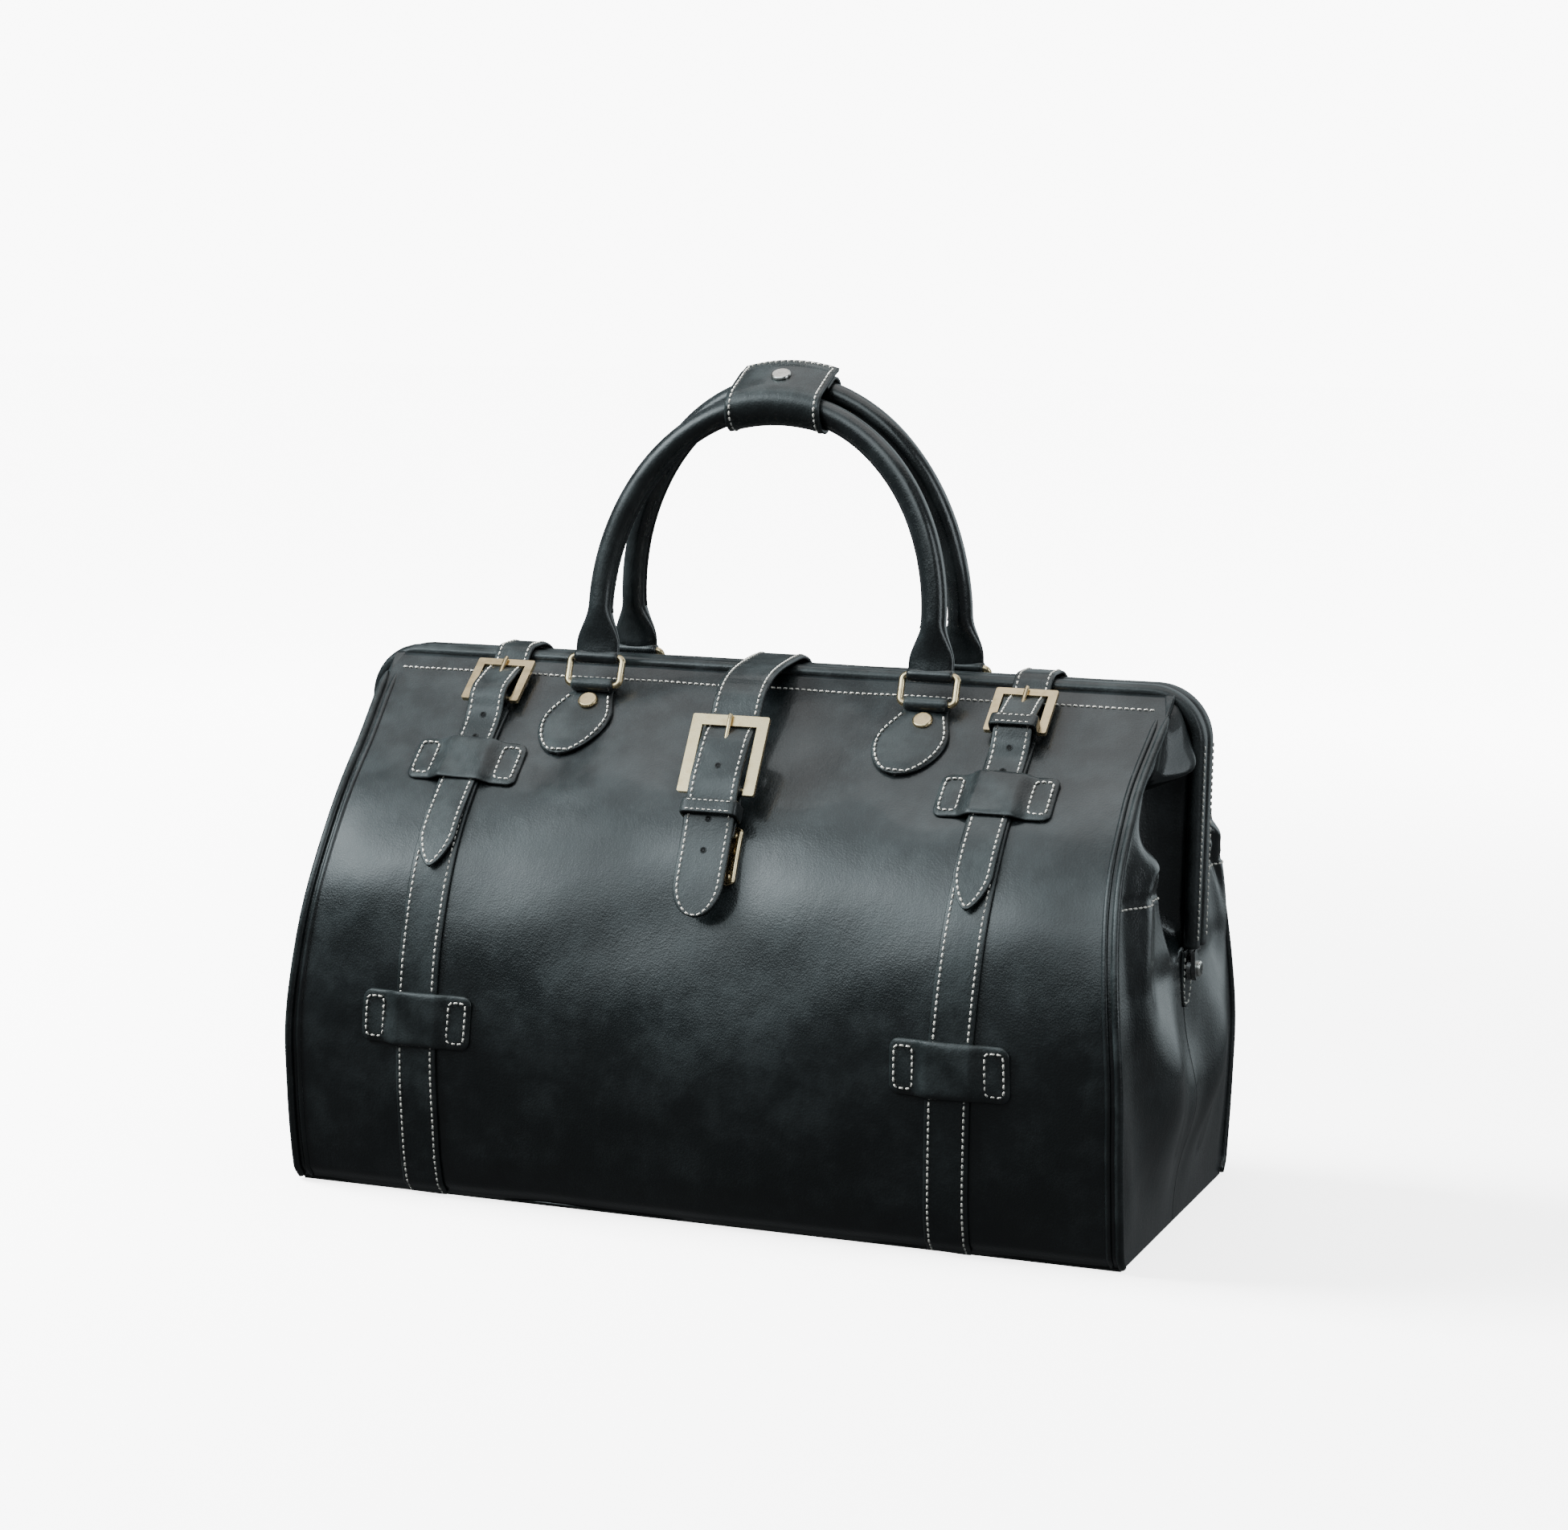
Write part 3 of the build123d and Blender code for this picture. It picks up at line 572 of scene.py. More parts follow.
def cloth_finish():
    """Twill: slanted fine ribs over a slow cloud of wear."""
    f = Finish("twill_lining", Roughness=0.85, Sheen_Weight=0.15)
    at = f.place()
    cloud = f.noise(at, 30.0, 4.0)
    slanted = f.add("ShaderNodeMapping", {}, {"Vector": at, "Rotation": (0.5, 0.6, 0.7)})
    ribs = f.add("ShaderNodeTexWave", {}, {"Vector": slanted, "Scale": 260.0, "Distortion": 0.4})
    shade, faded = colour(0.055, 0.047, 0.038), colour(0.085, 0.073, 0.058)
    f.feed("Base Color", f.mix(cloud.between(0.3, 0.7), shade, faded))
    f.bump((ribs, 0.00018), (f.noise(at, 1400.0, 2.0), 0.0001))
    return f.material


ink = colour(0.0045, 0.0062, 0.0068)
ash = colour(0.011, 0.0145, 0.0155)
body_hide = leather_finish("body_hide", ink, ash, 0.27, 0.00010, 0.00016, 0.55)
soot = colour(0.005, 0.007, 0.0075)
slate = colour(0.016, 0.021, 0.022)
strap_hide = leather_finish("strap_hide", soot, slate, 0.33, 0.00009, 0.00022, 0.35)
grip_hide = leather_finish("grip_hide", ink, ash, 0.24, 0.00007, 0.00020, 0.6)
brass = metal_finish("satin_brass", colour(0.78, 0.62, 0.37), colour(0.62, 0.47, 0.26), 0.20)
nickel = metal_finish("polished_nickel", colour(0.80, 0.79, 0.75), colour(0.62, 0.60, 0.55), 0.14)
steel = metal_finish("spring_steel", colour(0.36, 0.36, 0.36), colour(0.25, 0.24, 0.23), 0.30)
thread = thread_finish()
# painted shade for the punched holes: a near-black finish for a disc that stands where only the shade inside
# a hole would be
hole_shade_deep, hole_shade_rim = colour(0.001, 0.001, 0.001), colour(0.002, 0.002, 0.002)
painted_hole_shade = leather_finish("hole_floor", hole_shade_deep, hole_shade_rim, 0.7, 0.00002, 0.00002, 0.0)
lining = cloth_finish()


# ---- the leather shells ----
def panel(name, side):
    """The front or back leather, from the base's edge up to the jaw, with a soft roll at its foot."""
    x = np.linspace(-half_x, half_x, 230)[None, :]
    s = np.linspace(0, 1, 150)[:, None]
    outer = shell(x, s, 0, side)
    hide = slab(name + "_hide", outer, leather, flip=side > 0)
    hang(hide, side, body_hide, "body_leather")
    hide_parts(name + "_panel", name + "_panel_top")
    x = np.linspace(-half_x + 0.006, half_x - 0.006, 90)[None, :]
    s = np.linspace(0.02, 0.985, 70)[:, None]
    cloth = slab(name + "_lining", shell(x, s, -0.0034, side), cloth_thick, flip=side > 0)
    hang(cloth, side, lining, "lining_cloth")
    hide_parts(name + "_lining_top")


def piping(name, side):
    """The corded welt along each end seam, with the turned seam ridge beside it."""
    s_end = float(share(top_z - 0.016))
    s = np.linspace(0.006, s_end, 150)
    taper = np.sqrt(np.clip((s_end - s) / 0.03, 0.02, 1))
    for end, sign in ENDS:
        line = shell(np.full_like(s, sign * half_x), s, 0.0004, side)
        cord = tube(f"{name}_piping_{end}", line, 0.0024 * taper, 14, up=X_AXIS)
        hang(cord, side, strap_hide, "piping_leather")
        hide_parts(name + "_piping")
        ridge_line = shell(np.full_like(s, sign * (half_x - 0.0062)), s, -0.0006, side)
        ridge = tube(f"{name}_seam_{end}", ridge_line, 0.0019 * taper, 12, up=X_AXIS)
        hang(ridge, side, body_hide, "body_leather")


def leg_line(s):
    """Where a gusset meets the jaw: mid-end below the hinge, then up the leg and round its corner."""
    z = height_at(s)
    knee = bar_z - corner
    turn = np.clip((z - knee) / (top_z - 0.0054 - knee), 0, 1) * math.radians(80)
    low_x = half_x - 0.001 + 0.011 * bump(z - 0.072, 0.032) * smooth(z / 0.02)
    leg = leg_x - 0.0035
    x = np.where(z < hinge_z, low_x, low_x + (leg - low_x) * smooth((z - hinge_z) / 0.02))
    x = np.where(z > knee, leg - corner + corner * np.cos(turn), x)
    y = 0.0064 * smooth((z - hinge_z) / 0.010)
    height = np.where(z > knee, knee + (corner - 0.001) * np.sin(turn), z)
    return x, y, height


def gusset_points(s, w, end, side, drop=0.0):
    """The end leather from its welt (w = 0) to the jaw's leg (w = 1), with the folds of a closed bag."""
    edge = shell(np.full_like(s, half_x), s, -0.001, side)
    lx, ly, lz = leg_line(s)
    z = height_at(s)
    shape = (w**1.9 * np.clip(1 - w, 0, 1) ** 0.75) / 0.285
    low = 0.214 - 0.058 * smooth((w - 0.35) / 0.45)
    high = 0.2535 + 0.0035 * np.sin(7.5 * w + 0.8)
    hollow = 0.046 * smooth((z - low) / 0.030) * (1 - smooth((z - high) / 0.013))
    ridge = 0.008 * bump(w - (0.24 + 0.9 * np.clip(0.207 - z, 0, 0.12)), 0.14) * bump(z - 0.175, 0.055)
    ridge = ridge + 0.012 * bump(w - 0.62, 0.26) * bump(z - 0.112, 0.042)
    ear = 0.006 * bump(w - 0.70, 0.20) * bump(z - high - 0.015, 0.010)
    ear = ear + 0.005 * bump(w - 0.36, 0.14) * bump(z - low - 0.004, 0.009)
    crease = -0.0035 * bump(w - 0.38 - 1.4 * (z - 0.22), 0.035) * bump(z - 0.215, 0.03)
    crease = crease + 0.0022 * np.sin(55 * z + 7 * w) * w * (1 - w) * 4 * smooth((z - 0.06) / 0.1)
    soft = 0.0016 * np.sin(9 * w + 31 * z) * smooth(w / 0.2) * smooth((1 - w) / 0.2) * smooth(z / 0.06)
    seam = -0.0012 * bump(z - 0.201, 0.0018) * smooth((0.66 - w) / 0.05)
    x = edge[..., 0] * (1 - w) + lx * w - hollow * shape + ridge + ear + crease + soft + seam - drop
    y = edge[..., 1] * side * (1 - w) + ly * w
    height = edge[..., 2] * (1 - w) + lz * w - 0.2 * hollow * shape
    return np.stack([end * x, side * y, np.maximum(height, 0.0)], axis=-1)


def gusset_weight(points, w):
    """How far a gusset would follow its jaw: fully at the leg and as the panel does at the welt."""
    rigid = smooth((points[..., 2] - hinge_z - 0.001) / 0.010)
    return weight(points) * (1 - smooth(w)) + rigid * smooth(w)


def gusset(name, side, end, sign):
    s = np.linspace(0.0, 1.0, 130)[:, None] * np.ones((1, 90))
    w = np.linspace(0.0, 1.0, 90)[None, :] * np.ones((130, 1))
    outer = gusset_points(s, w, sign, side)
    flip = sign * side > 0
    hide = slab(f"{name}_gusset_{end}", outer, leather, flip=flip)
    each = gusset_weight(outer, w).ravel()
    hang(hide, side, body_hide, "body_leather", np.concatenate([each, each]))
    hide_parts(name + "_gussets", "end_panel_" + end)
    inside = gusset_points(s, w, sign, side, 0.0040)
    cloth = slab(f"{name}_gusset_lining_{end}", inside, cloth_thick, flip=flip)
    hang(cloth, side, lining, "lining_cloth", np.concatenate([each, each]))
    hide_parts("tub_lining")
    n = 60
    ws = np.linspace(0.03, 0.60, n)
    ss = np.full(n, float(share(0.1975)))
    line = gusset_points(ss, ws, sign, side)
    ahead = gusset_points(ss + 0.004, ws, sign, side) - line
    right = np.gradient(line, axis=0)
    normal = unit(np.cross(right, ahead)) * (1 if sign * side < 0 else -1)
    row = stitches(f"{name}_gusset_stitch_{end}", [(line + normal * 0.0002, normal)])
    at = corners(row)
    back = np.clip((np.abs(line[0, 1]) - np.abs(at[:, 1])) / np.abs(line[0, 1]), 0, 1)
    hang(row, side, thread, "body_leather", gusset_weight(at, back))


def base():
    x = np.linspace(-half_x + 0.001, half_x - 0.001, 60)[None, :]
    y = np.linspace(-1, 1, 40)[:, None]
    edge = base_y - 0.0045
    points = np.stack([x * np.ones_like(y), y * edge * np.ones_like(x), 0.0024 + 0 * x * y], axis=-1)
    sole = slab("base_hide", points, 0.0024)
    sit(sole, "bag_body", body_hide)
    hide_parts("base_panel")
    inner = points * np.array([0.985, 0.975, 1.0]) + np.array([0, 0, 0.0052])
    floor = slab("base_lining", inner, 0.003)
    sit(floor, "bag_body", lining)
    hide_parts("base_board")


def jaw(name, side):
    """A leather-bound jaw: a squarish rod along the mouth and down both legs, softly uneven."""
    knee = bar_z - corner
    arc = np.linspace(0, math.pi / 2, 24)[1:]
    right = np.concatenate(
        [
            [[leg_x, z] for z in np.linspace(leg_low, knee, 40)],
            np.stack([leg_x - corner + corner * np.cos(arc), knee + corner * np.sin(arc)], axis=1),
        ]
    )
    path = even(np.concatenate([right, right[::-1] * np.array([-1, 1])]), 420)
    wave = 1 + 0.012 * np.sin(path[:, 0] * 90) + 0.012 * np.sin(path[:, 1] * 70 + side)
    line = np.stack([path[:, 0], np.full(len(path), side * -jaw_y), path[:, 1]], axis=1)
    up = np.broadcast_to(np.array([0.0, 1.0, 0.0]), line.shape)
    scale = np.stack([binding / 2 * wave, jaw_deep / 2 * wave], axis=1)
    rod = sweep(name + "_jaw_binding", line, up, ring_of(26, 2.6), scale)
    sit(rod, name + "_jaw", strap_hide)
    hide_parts(name + "_jaw_cover")


def seam_rows(name, side):
    """The rows of thread that hold the leather to the jaw, along the mouth and down both legs."""
    x = np.linspace(-half_x * 0.965, half_x * 0.965, 300)
    s = np.full_like(x, float(share(top_z - 0.0132)))
    row = stitches(name + "_mouth_stitch", [(shell(x, s, 0.0003, side), shell_normal(x, s, side))])
    sit(row, name + "_jaw", thread)
    for end, sign in ENDS:
        z = np.linspace(leg_low + 0.004, bar_z - corner, 120)
        x, y = sign * (leg_x + 0.0044), side * (0.0032 - jaw_y)
        line = np.stack([np.full_like(z, x), np.full_like(z, y), z], axis=1)
        rows = stitches(f"{name}_leg_stitch_{end}", [(line, np.broadcast_to([sign, 0.0, 0.0], line.shape))])
        sit(rows, name + "_jaw", thread)


def tongue(end, sign):
    """The stitched tongue of leather behind each hinge: straight-sided above, and half an oval below."""
    v = np.linspace(0, 1, 40)[:, None]
    u = np.linspace(-1, 1, 26)[None, :]
    top, long = hinge_z + 0.011, 0.034

    def half_width(v):
        return 0.0105 * np.sqrt(np.clip(1 - (np.clip(v - 0.45, 0, 1) / 0.55) ** 2.2, 1e-4, 1))

    x = half_x + 0.0027 - 0.0007 * np.abs(u) ** 8
    outer = np.stack([sign * x + 0 * v, u * half_width(v), top - v * long + 0 * u], axis=-1)
    piece = slab("hinge_tongue_" + end, outer, 0.0022, flip=sign > 0)
    tidy_normals(piece)
    sit(piece, "bag_body", strap_hide)
    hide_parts("hinge_tabs")
    t = np.linspace(0.1, 0.93, 40)
    reach = np.maximum(half_width(t) - 0.0022, 0.0)
    y, z = np.concatenate([reach, -reach[::-1]]), top - np.concatenate([t, t[::-1]]) * long
    line = np.stack([np.full_like(y, sign * (half_x + 0.0028)), y, z], axis=1)
    rows = stitches("hinge_tongue_stitch_" + end, [(line, np.broadcast_to([sign, 0.0, 0.0], line.shape))])
    sit(rows, "bag_body", thread)


# ---- straps and keepers ----
def strap_line(end, low, high, lift, side, count=160):
    """A line up the leather between two heights, leaning as its strap does."""
    s = np.linspace(float(share(low)), float(share(high)), count)
    z = height_at(s)
    x = spread(strap_middle(end, z), z)
    return shell(x, s, lift, side), shell_normal(x, s, side)


def edge_rows(line, up, width, inset=0.0028, lift=0.0012, narrow=None, tip=False):
    """Two rows of thread along a strip's edges, joined round its tip."""
    _, side, over = frames(line, up)
    reach = np.full(len(line), width / 2 - inset)
    if narrow is not None:
        reach = np.maximum(width / 2 * narrow - inset, 0.0)
    a, b = line + side * reach[:, None] + over * lift, line - side * reach[:, None] + over * lift
    if not tip:
        return [(a, over), (b, over)]
    inside = reach > 0.0004
    a, b, n = a[inside], b[inside], over[inside]
    return [(np.concatenate([a, b[::-1]]), np.concatenate([n, n[::-1]]))]


def low_straps(name, side):
    for end, _ in ENDS:
        high = top_z - 0.034 if side < 0 else high_keeper_z
        line, up = strap_line(end, 0.0006, high, 0.0011, side)
        width = 0.0255
        piece, _ = strap(f"{name}_strap_{end}", line, up, width, 0.0022)
        hang(piece, side, strap_hide, "strap_leather")
        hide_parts(f"{name}_strap_{end}")
        rows = stitches(f"{name}_strap_stitch_{end}", edge_rows(line, up, width, lift=0.0012))
        hang(rows, side, thread, "strap_leather")


def keeper(name, side, x, z, over):
    """A leather bridge with rounded corners: sewn flat at both ends, and lifted over the strap between."""
    width, tall, radius = 0.069, 0.031, 0.0055
    u = np.linspace(-1, 1, 80)[None, :]
    v = np.linspace(-1, 1, 40)[:, None]
    v = squared(v, 0.8)

    def high(away):
        return 0.0023 + over * (1 - smooth((away - 0.0110) / 0.0105))

    reach = rounded_reach(v, width, tall, radius)
    px = x + u * reach
    rolled = 0.0012 * (np.maximum(np.abs(u) ** 14, np.abs(v) ** 10))
    lift = high(np.abs(px - x)) - rolled + 0.0004 * np.sin(5 * u + 3 * v)
    rows_at = share(z) + v * tall / 2 / skin_length + 0 * u
    piece = slab(name, shell(spread(px, z), rows_at, lift, side), 0.0019, flip=side > 0)
    hang(piece, side, strap_hide, "strap_leather")
    runs = []
    for sign in (-1, 1):
        a = np.linspace(0, 2 * math.pi, 90)
        c, q = np.cos(a), np.sin(a)
        half_w, half_t = 0.0054, tall / 2 - 0.0040
        sx = x + sign * (width / 2 - 0.0030 - half_w) + half_w * squared(c, 0.45)
        ss = share(z) + half_t * squared(q, 0.25) / skin_length
        own = spread(sx, z)
        runs.append((shell(own, ss, high(np.abs(sx - x)) + 0.0003, side), shell_normal(own, ss, side)))
    rows = stitches(name + "_stitch", runs, spacing=0.0036, long=0.0025)
    hang(rows, side, thread, "strap_leather")
    return piece


def keepers(name, side):
    raised = 0.0042 if side < 0 else 0.0024
    for end, _ in ENDS:
        for level, z, over in (("low", low_keeper_z, 0.0024), ("high", high_keeper_z, raised)):
            piece = keeper(f"{name}_{level}_keeper_{end}", side, strap_middle(end, z), z, over)
            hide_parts(f"{name}_{level}_keepers")


def on(z, lift=0.0, along=0.0):
    """The (y, z) point off the plain skin at a height, then along it and lifted."""
    s = share(z) + along / skin_length
    y, h, ty, tz = skin(s)
    return (-(y + tz * lift), h - ty * lift)


def up_the_back(drops, lift):
    """Points up the back leather, by how far each is below the top."""
    return [(-y, z) for y, z in (on(top_z - drop, lift) for drop in drops)]


def in_plane(points, x):
    p = np.asarray(points)
    return np.stack([np.full(len(p), x), p[:, 0], p[:, 1]], axis=1)


def line_up(line):
    """Outwards from a strip that lies in a plane across the bag."""
    along = unit(np.gradient(line, axis=0))
    return unit(np.cross(along, np.broadcast_to(X_AXIS, line.shape)))


crest_y, crest_z = joint_at["centre_strap_lift"][1], joint_at["centre_strap_lift"][2]
heel = joint_at["buckle_left_tilt"][1:]


def bend_at_crest(piece, finish):
    """For a strap that is sewn to the back jaw: bakes its place into its points and gives it its finish."""
    crest_y + 0.010
    crest_y - 0.012
    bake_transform(piece)
    dress(piece, finish)


def side_strap(end, sign):
    """The long end: from the back over the mouth, under the buckle's far bar, over its heel, to the tip."""
    x = strap_top[end]
    back = up_the_back((0.056, 0.036, 0.02), 0.0026)
    hy, hz = heel
    over = [
        (0.0142, top_z + 0.0002),
        (0.0065, crest_z + 0.0006),
        (-0.004, crest_z + 0.0006),
        (-0.0135, crest_z - 0.0012),
        on(buckle_z, 0.0028, 0.0155),
        on(buckle_z, 0.0066, 0.0085),
        on(buckle_z, 0.0094, 0.0),
        (hy - 0.0034, hz + 0.0042),
        on(buckle_z, 0.0068, -0.024),
    ]
    rest = [
        on(high_keeper_z, 0.0036, 0.014),
        on(high_keeper_z, 0.0034, -0.0155),
        on(0.215, 0.0050),
        on(0.190, 0.0066),
    ]
    line = in_plane(smooth_line(back + over + rest, 260), x)
    line[:, 0] = strap_middle(end, line[:, 2])
    lift = np.zeros(len(line))
    low = line[:, 2] < 0.262
    front = line[:, 1] < -0.06
    lift[low & front] = relief(line[low & front, 0], line[low & front, 2])
    up = line_up(line)
    line = line + up * lift[:, None]
    width = 0.0228
    piece, narrow = strap(f"strap_tip_{end}", line, up, width, 0.0020, tip=0.022, tip_power=1.55)
    bend_at_crest(piece, strap_hide)
    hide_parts("strap_tip_" + end, "over_strap_" + end)
    rows = stitches(f"strap_tip_stitch_{end}", edge_rows(line, up, width, 0.0026, 0.0011, narrow, tip=True))
    bend_at_crest(rows, thread)
    for along in (-0.0095, -0.0215):
        hole(f"strap_hole_{end}", line, up, hz + along, 0.0012)
    if sign > 0:
        band_at = np.array([x, hy - 0.0030, hz + 0.0036])
        rise = np.subtract(on(buckle_z, 0.0, -0.012), on(buckle_z, 0.0, -0.017))
        along_dir = unit(np.array([0.0, *rise]))
        loop_band("strap_loop", band_at, along_dir, 0.0246, 0.0062, 0.0085, "strap_" + end)


def hole(name, line, up, height, top):
    """A punched hole: a pressed rim round a disc painted near-black, a painted shade that stands for the dark
    inside of the hole.
    """
    k = int(np.argmin(np.abs(line[:, 2] - height) + (line[:, 1] > -0.03)))
    n = up[k]
    side, fore = X_AXIS, np.cross(n, X_AXIS)
    a = np.linspace(0, 2 * math.pi, 20, endpoint=False)[:, None]
    at = line[k] + n * (top - 0.0001)
    rim_line = at + 0.0017 * (np.cos(a) * side + np.sin(a) * fore)
    rim = tube(name + "_rim", rim_line, 0.00032, 8, up=n, close=True)
    bend_at_crest(rim, strap_hide)
    # painted shade: a near-black disc on the strap's face stands in for the shade inside the hole
    r = np.array([0.0004, 0.0017])[:, None, None]
    disc = at + n * 0.00006 + r * (np.cos(a)[None] * side + np.sin(a)[None] * fore)
    floor = slab(name + "_floor", np.concatenate([disc, disc[:, :1]], axis=1), 0.0002)
    tidy_normals(floor)
    bend_at_crest(floor, painted_hole_shade)


def loop_band(name, middle, along, width, deep, long, body):
    """A narrow leather keeper round a strap, with two rows of thread across its face."""
    n = np.cross(X_AXIS, along)
    n = n if n[1] < 0 else -n
    a = np.linspace(0, 2 * math.pi, 64, endpoint=False)
    c, q = np.cos(a), np.sin(a)
    px = (width / 2 + 0.0009) * squared(c, 0.3)
    pn = (deep / 2 + 0.0009) * squared(q, 0.3)
    line = middle + px[:, None] * X_AXIS + pn[:, None] * n
    up = np.broadcast_to(along, line.shape)
    size = np.tile([0.0009, long / 2], (len(line), 1))
    piece = sweep(name, line, up, ring_of(16, 4.0), size, close=True)
    tidy_normals(piece)
    sit(piece, body, strap_hide)
    runs = []
    x = np.linspace(-width / 2 + 0.002, width / 2 - 0.002, 20)[:, None]
    for row in (-1, 1):
        at = middle + x * X_AXIS + n * (deep / 2 + 0.00185) + along * row * (long / 2 - 0.0017)
        runs.append((at, np.broadcast_to(n, at.shape)))
    rows = stitches(name + "_stitch", runs, spacing=0.0031, long=0.0021, thick=0.00036)
    sit(rows, body, thread)
    return piece


def barrel(name, x, y, z, radius, width, body, finish, slot):
    """Leather turned round a bar: a short tube with rolled ends."""
    t = np.linspace(-1, 1, 26)
    line = np.stack([x + t * width / 2, np.full_like(t, y), np.full_like(t, z)], axis=1)
    size = radius * (1 - 0.22 * np.abs(t) ** 12)
    sit(tube(name, line, size, 28, up=(0, 0, 1)), body, finish)


# ---- centre strap ----
centre_heel = np.array(joint_at["centre_buckle_tilt"][1:])
lean = math.radians(31.0)
centre_up = np.array([math.sin(lean), math.cos(lean)])
centre_out = np.array([-math.cos(lean), math.sin(lean)])


def at_centre(along, lift):
    return tuple(centre_heel + along * centre_up + lift * centre_out)


def centre_strap():
    """The wide strap over the mouth, through its buckle and down to a rounded tip off the leather."""
    back = up_the_back((0.058, 0.038, 0.02), 0.0028)
    over = [
        (0.0142, top_z + 0.0003),
        (0.0065, crest_z + 0.0009),
        (-0.006, crest_z + 0.0010),
        (-0.0215, crest_z - 0.0008),
        at_centre(0.0594, -0.0046),
        at_centre(0.0424, -0.0033),
        at_centre(0.0335, 0.0010),
        at_centre(0.0212, 0.0034),
        at_centre(0.0, 0.0048),
        at_centre(-0.012, 0.0026),
        at_centre(-0.028, -0.0006),
        on(0.198, 0.0072),
        on(0.176, 0.0065),
    ]
    line = in_plane(smooth_line(back + over, 300), 0.0)
    up = line_up(line)
    width = 0.0302
    piece, narrow = strap("centre_strap", line, up, width, 0.0027, tip=0.021, tip_power=2.1)
    bend_at_crest(piece, strap_hide)
    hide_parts("centre_tip", "centre_over_strap")
    rows = stitches("centre_strap_stitch", edge_rows(line, up, width, 0.0029, 0.00145, narrow, tip=True))
    bend_at_crest(rows, thread)
    for k, along in enumerate((0.014, -0.0175, -0.037)):
        hole(f"centre_hole_{k}", line, up, centre_heel[1] + along * 0.9, 0.00145)
    low = in_plane([at_centre(a, -0.0043) for a in np.linspace(0.002, -0.032, 40)], 0.0)
    tab, _ = strap("centre_tab", low, line_up(low), width * 0.99, 0.0025, tip=0.006)
    sit(tab, "centre_strap", strap_hide)
    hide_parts("centre_tab")
    along_dir = np.array([0.0, *centre_up])
    middle = np.array([0.0, *at_centre(-0.0135, 0.0004)])
    band = loop_band("centre_loop_band", middle, along_dir, width + 0.001, 0.0118, 0.0092, "centre_strap")
    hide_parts("centre_loop")
    for k, x in enumerate((-0.0088, 0.0088)):
        name = f"centre_heel_turn_{k}"
        barrel(name, x, *centre_heel, 0.0029, 0.0125, "centre_strap", strap_hide, "strap_leather")


def lock_plate():
    """The brass plate behind the centre strap, with a raised rim and four rivets, bent to the leather."""
    z = 0.211
    u = np.linspace(-1, 1, 40)[None, :]
    v = np.linspace(-1, 1, 36)[:, None]
    radius, wide, tall = 0.003, 0.0365, 0.034
    reach = rounded_reach(v, wide, tall, radius)
    lift = 0.0012 + 0.0007 * np.maximum(bump(np.abs(u) - 0.9, 0.05), bump(np.abs(v) - 0.9, 0.05))
    plate = slab("lock_plate", shell(u * reach, share(z) + v * tall / 2 / skin_length, lift, FRONT), 0.0011)
    sit(plate, "front_jaw", brass)
    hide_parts("lock_case")
    for sx in (-1, 1):
        for sv in (-1, 1):
            at = np.array([sx * wide * 0.37]), np.array([share(z) + sv * tall * 0.36 / skin_length])
            centre, n = shell(*at, 0.0012, FRONT)[0], shell_normal(*at, FRONT)[0]
            rivet_dome(f"lock_rivet_{sx + 1}_{sv + 1}", centre, n, 0.0017, 0.0007, "front_jaw")


def rivet_dome(name, centre, n, radius, high, body):
    """A low round head: a quarter ellipse turned about its own axis."""
    t = np.linspace(0, math.pi / 2, 10)[:, None, None]
    a = np.linspace(0, 2 * math.pi, 24, endpoint=False)[None, :, None]
    side = unit(np.cross(n, np.array([0.0, 0.0, 1.0])))
    fore = np.cross(n, side)
    p = centre + radius * np.cos(t) * (np.cos(a) * side + np.sin(a) * fore) + n * high * np.sin(t)
    p = np.concatenate([(centre + radius * (np.cos(a) * side + np.sin(a) * fore) - n * high * 0.3), p[:-1]])
    rows, columns = p.shape[:2]
    flat = np.concatenate([p.reshape(-1, 3), [centre + n * high], [centre - n * high * 0.3]])
    c = np.arange(columns)
    top = [[(rows - 1) * columns + i, (rows - 1) * columns + (i + 1) % columns, rows * columns] for i in c]
    bottom = [[(i + 1) % columns, i, rows * columns + 1] for i in c]
    piece = ragged(name, flat, quads(rows, columns, False, True).tolist() + top + bottom)
    sit(piece, body, brass)


# ---- tabs and handles ----
def middle_of(node):
    """Where a CAD tube crosses the middle plane, as (y, z)."""
    at = corners(frame["nodes"][node])
    near = at[np.abs(at[:, 0]) < 0.006]
    top = near[near[:, 2] > near[:, 2].max() - 0.02]
    return np.array([(top[:, 1].min() + top[:, 1].max()) / 2, near[:, 2].max() - 0.0075])


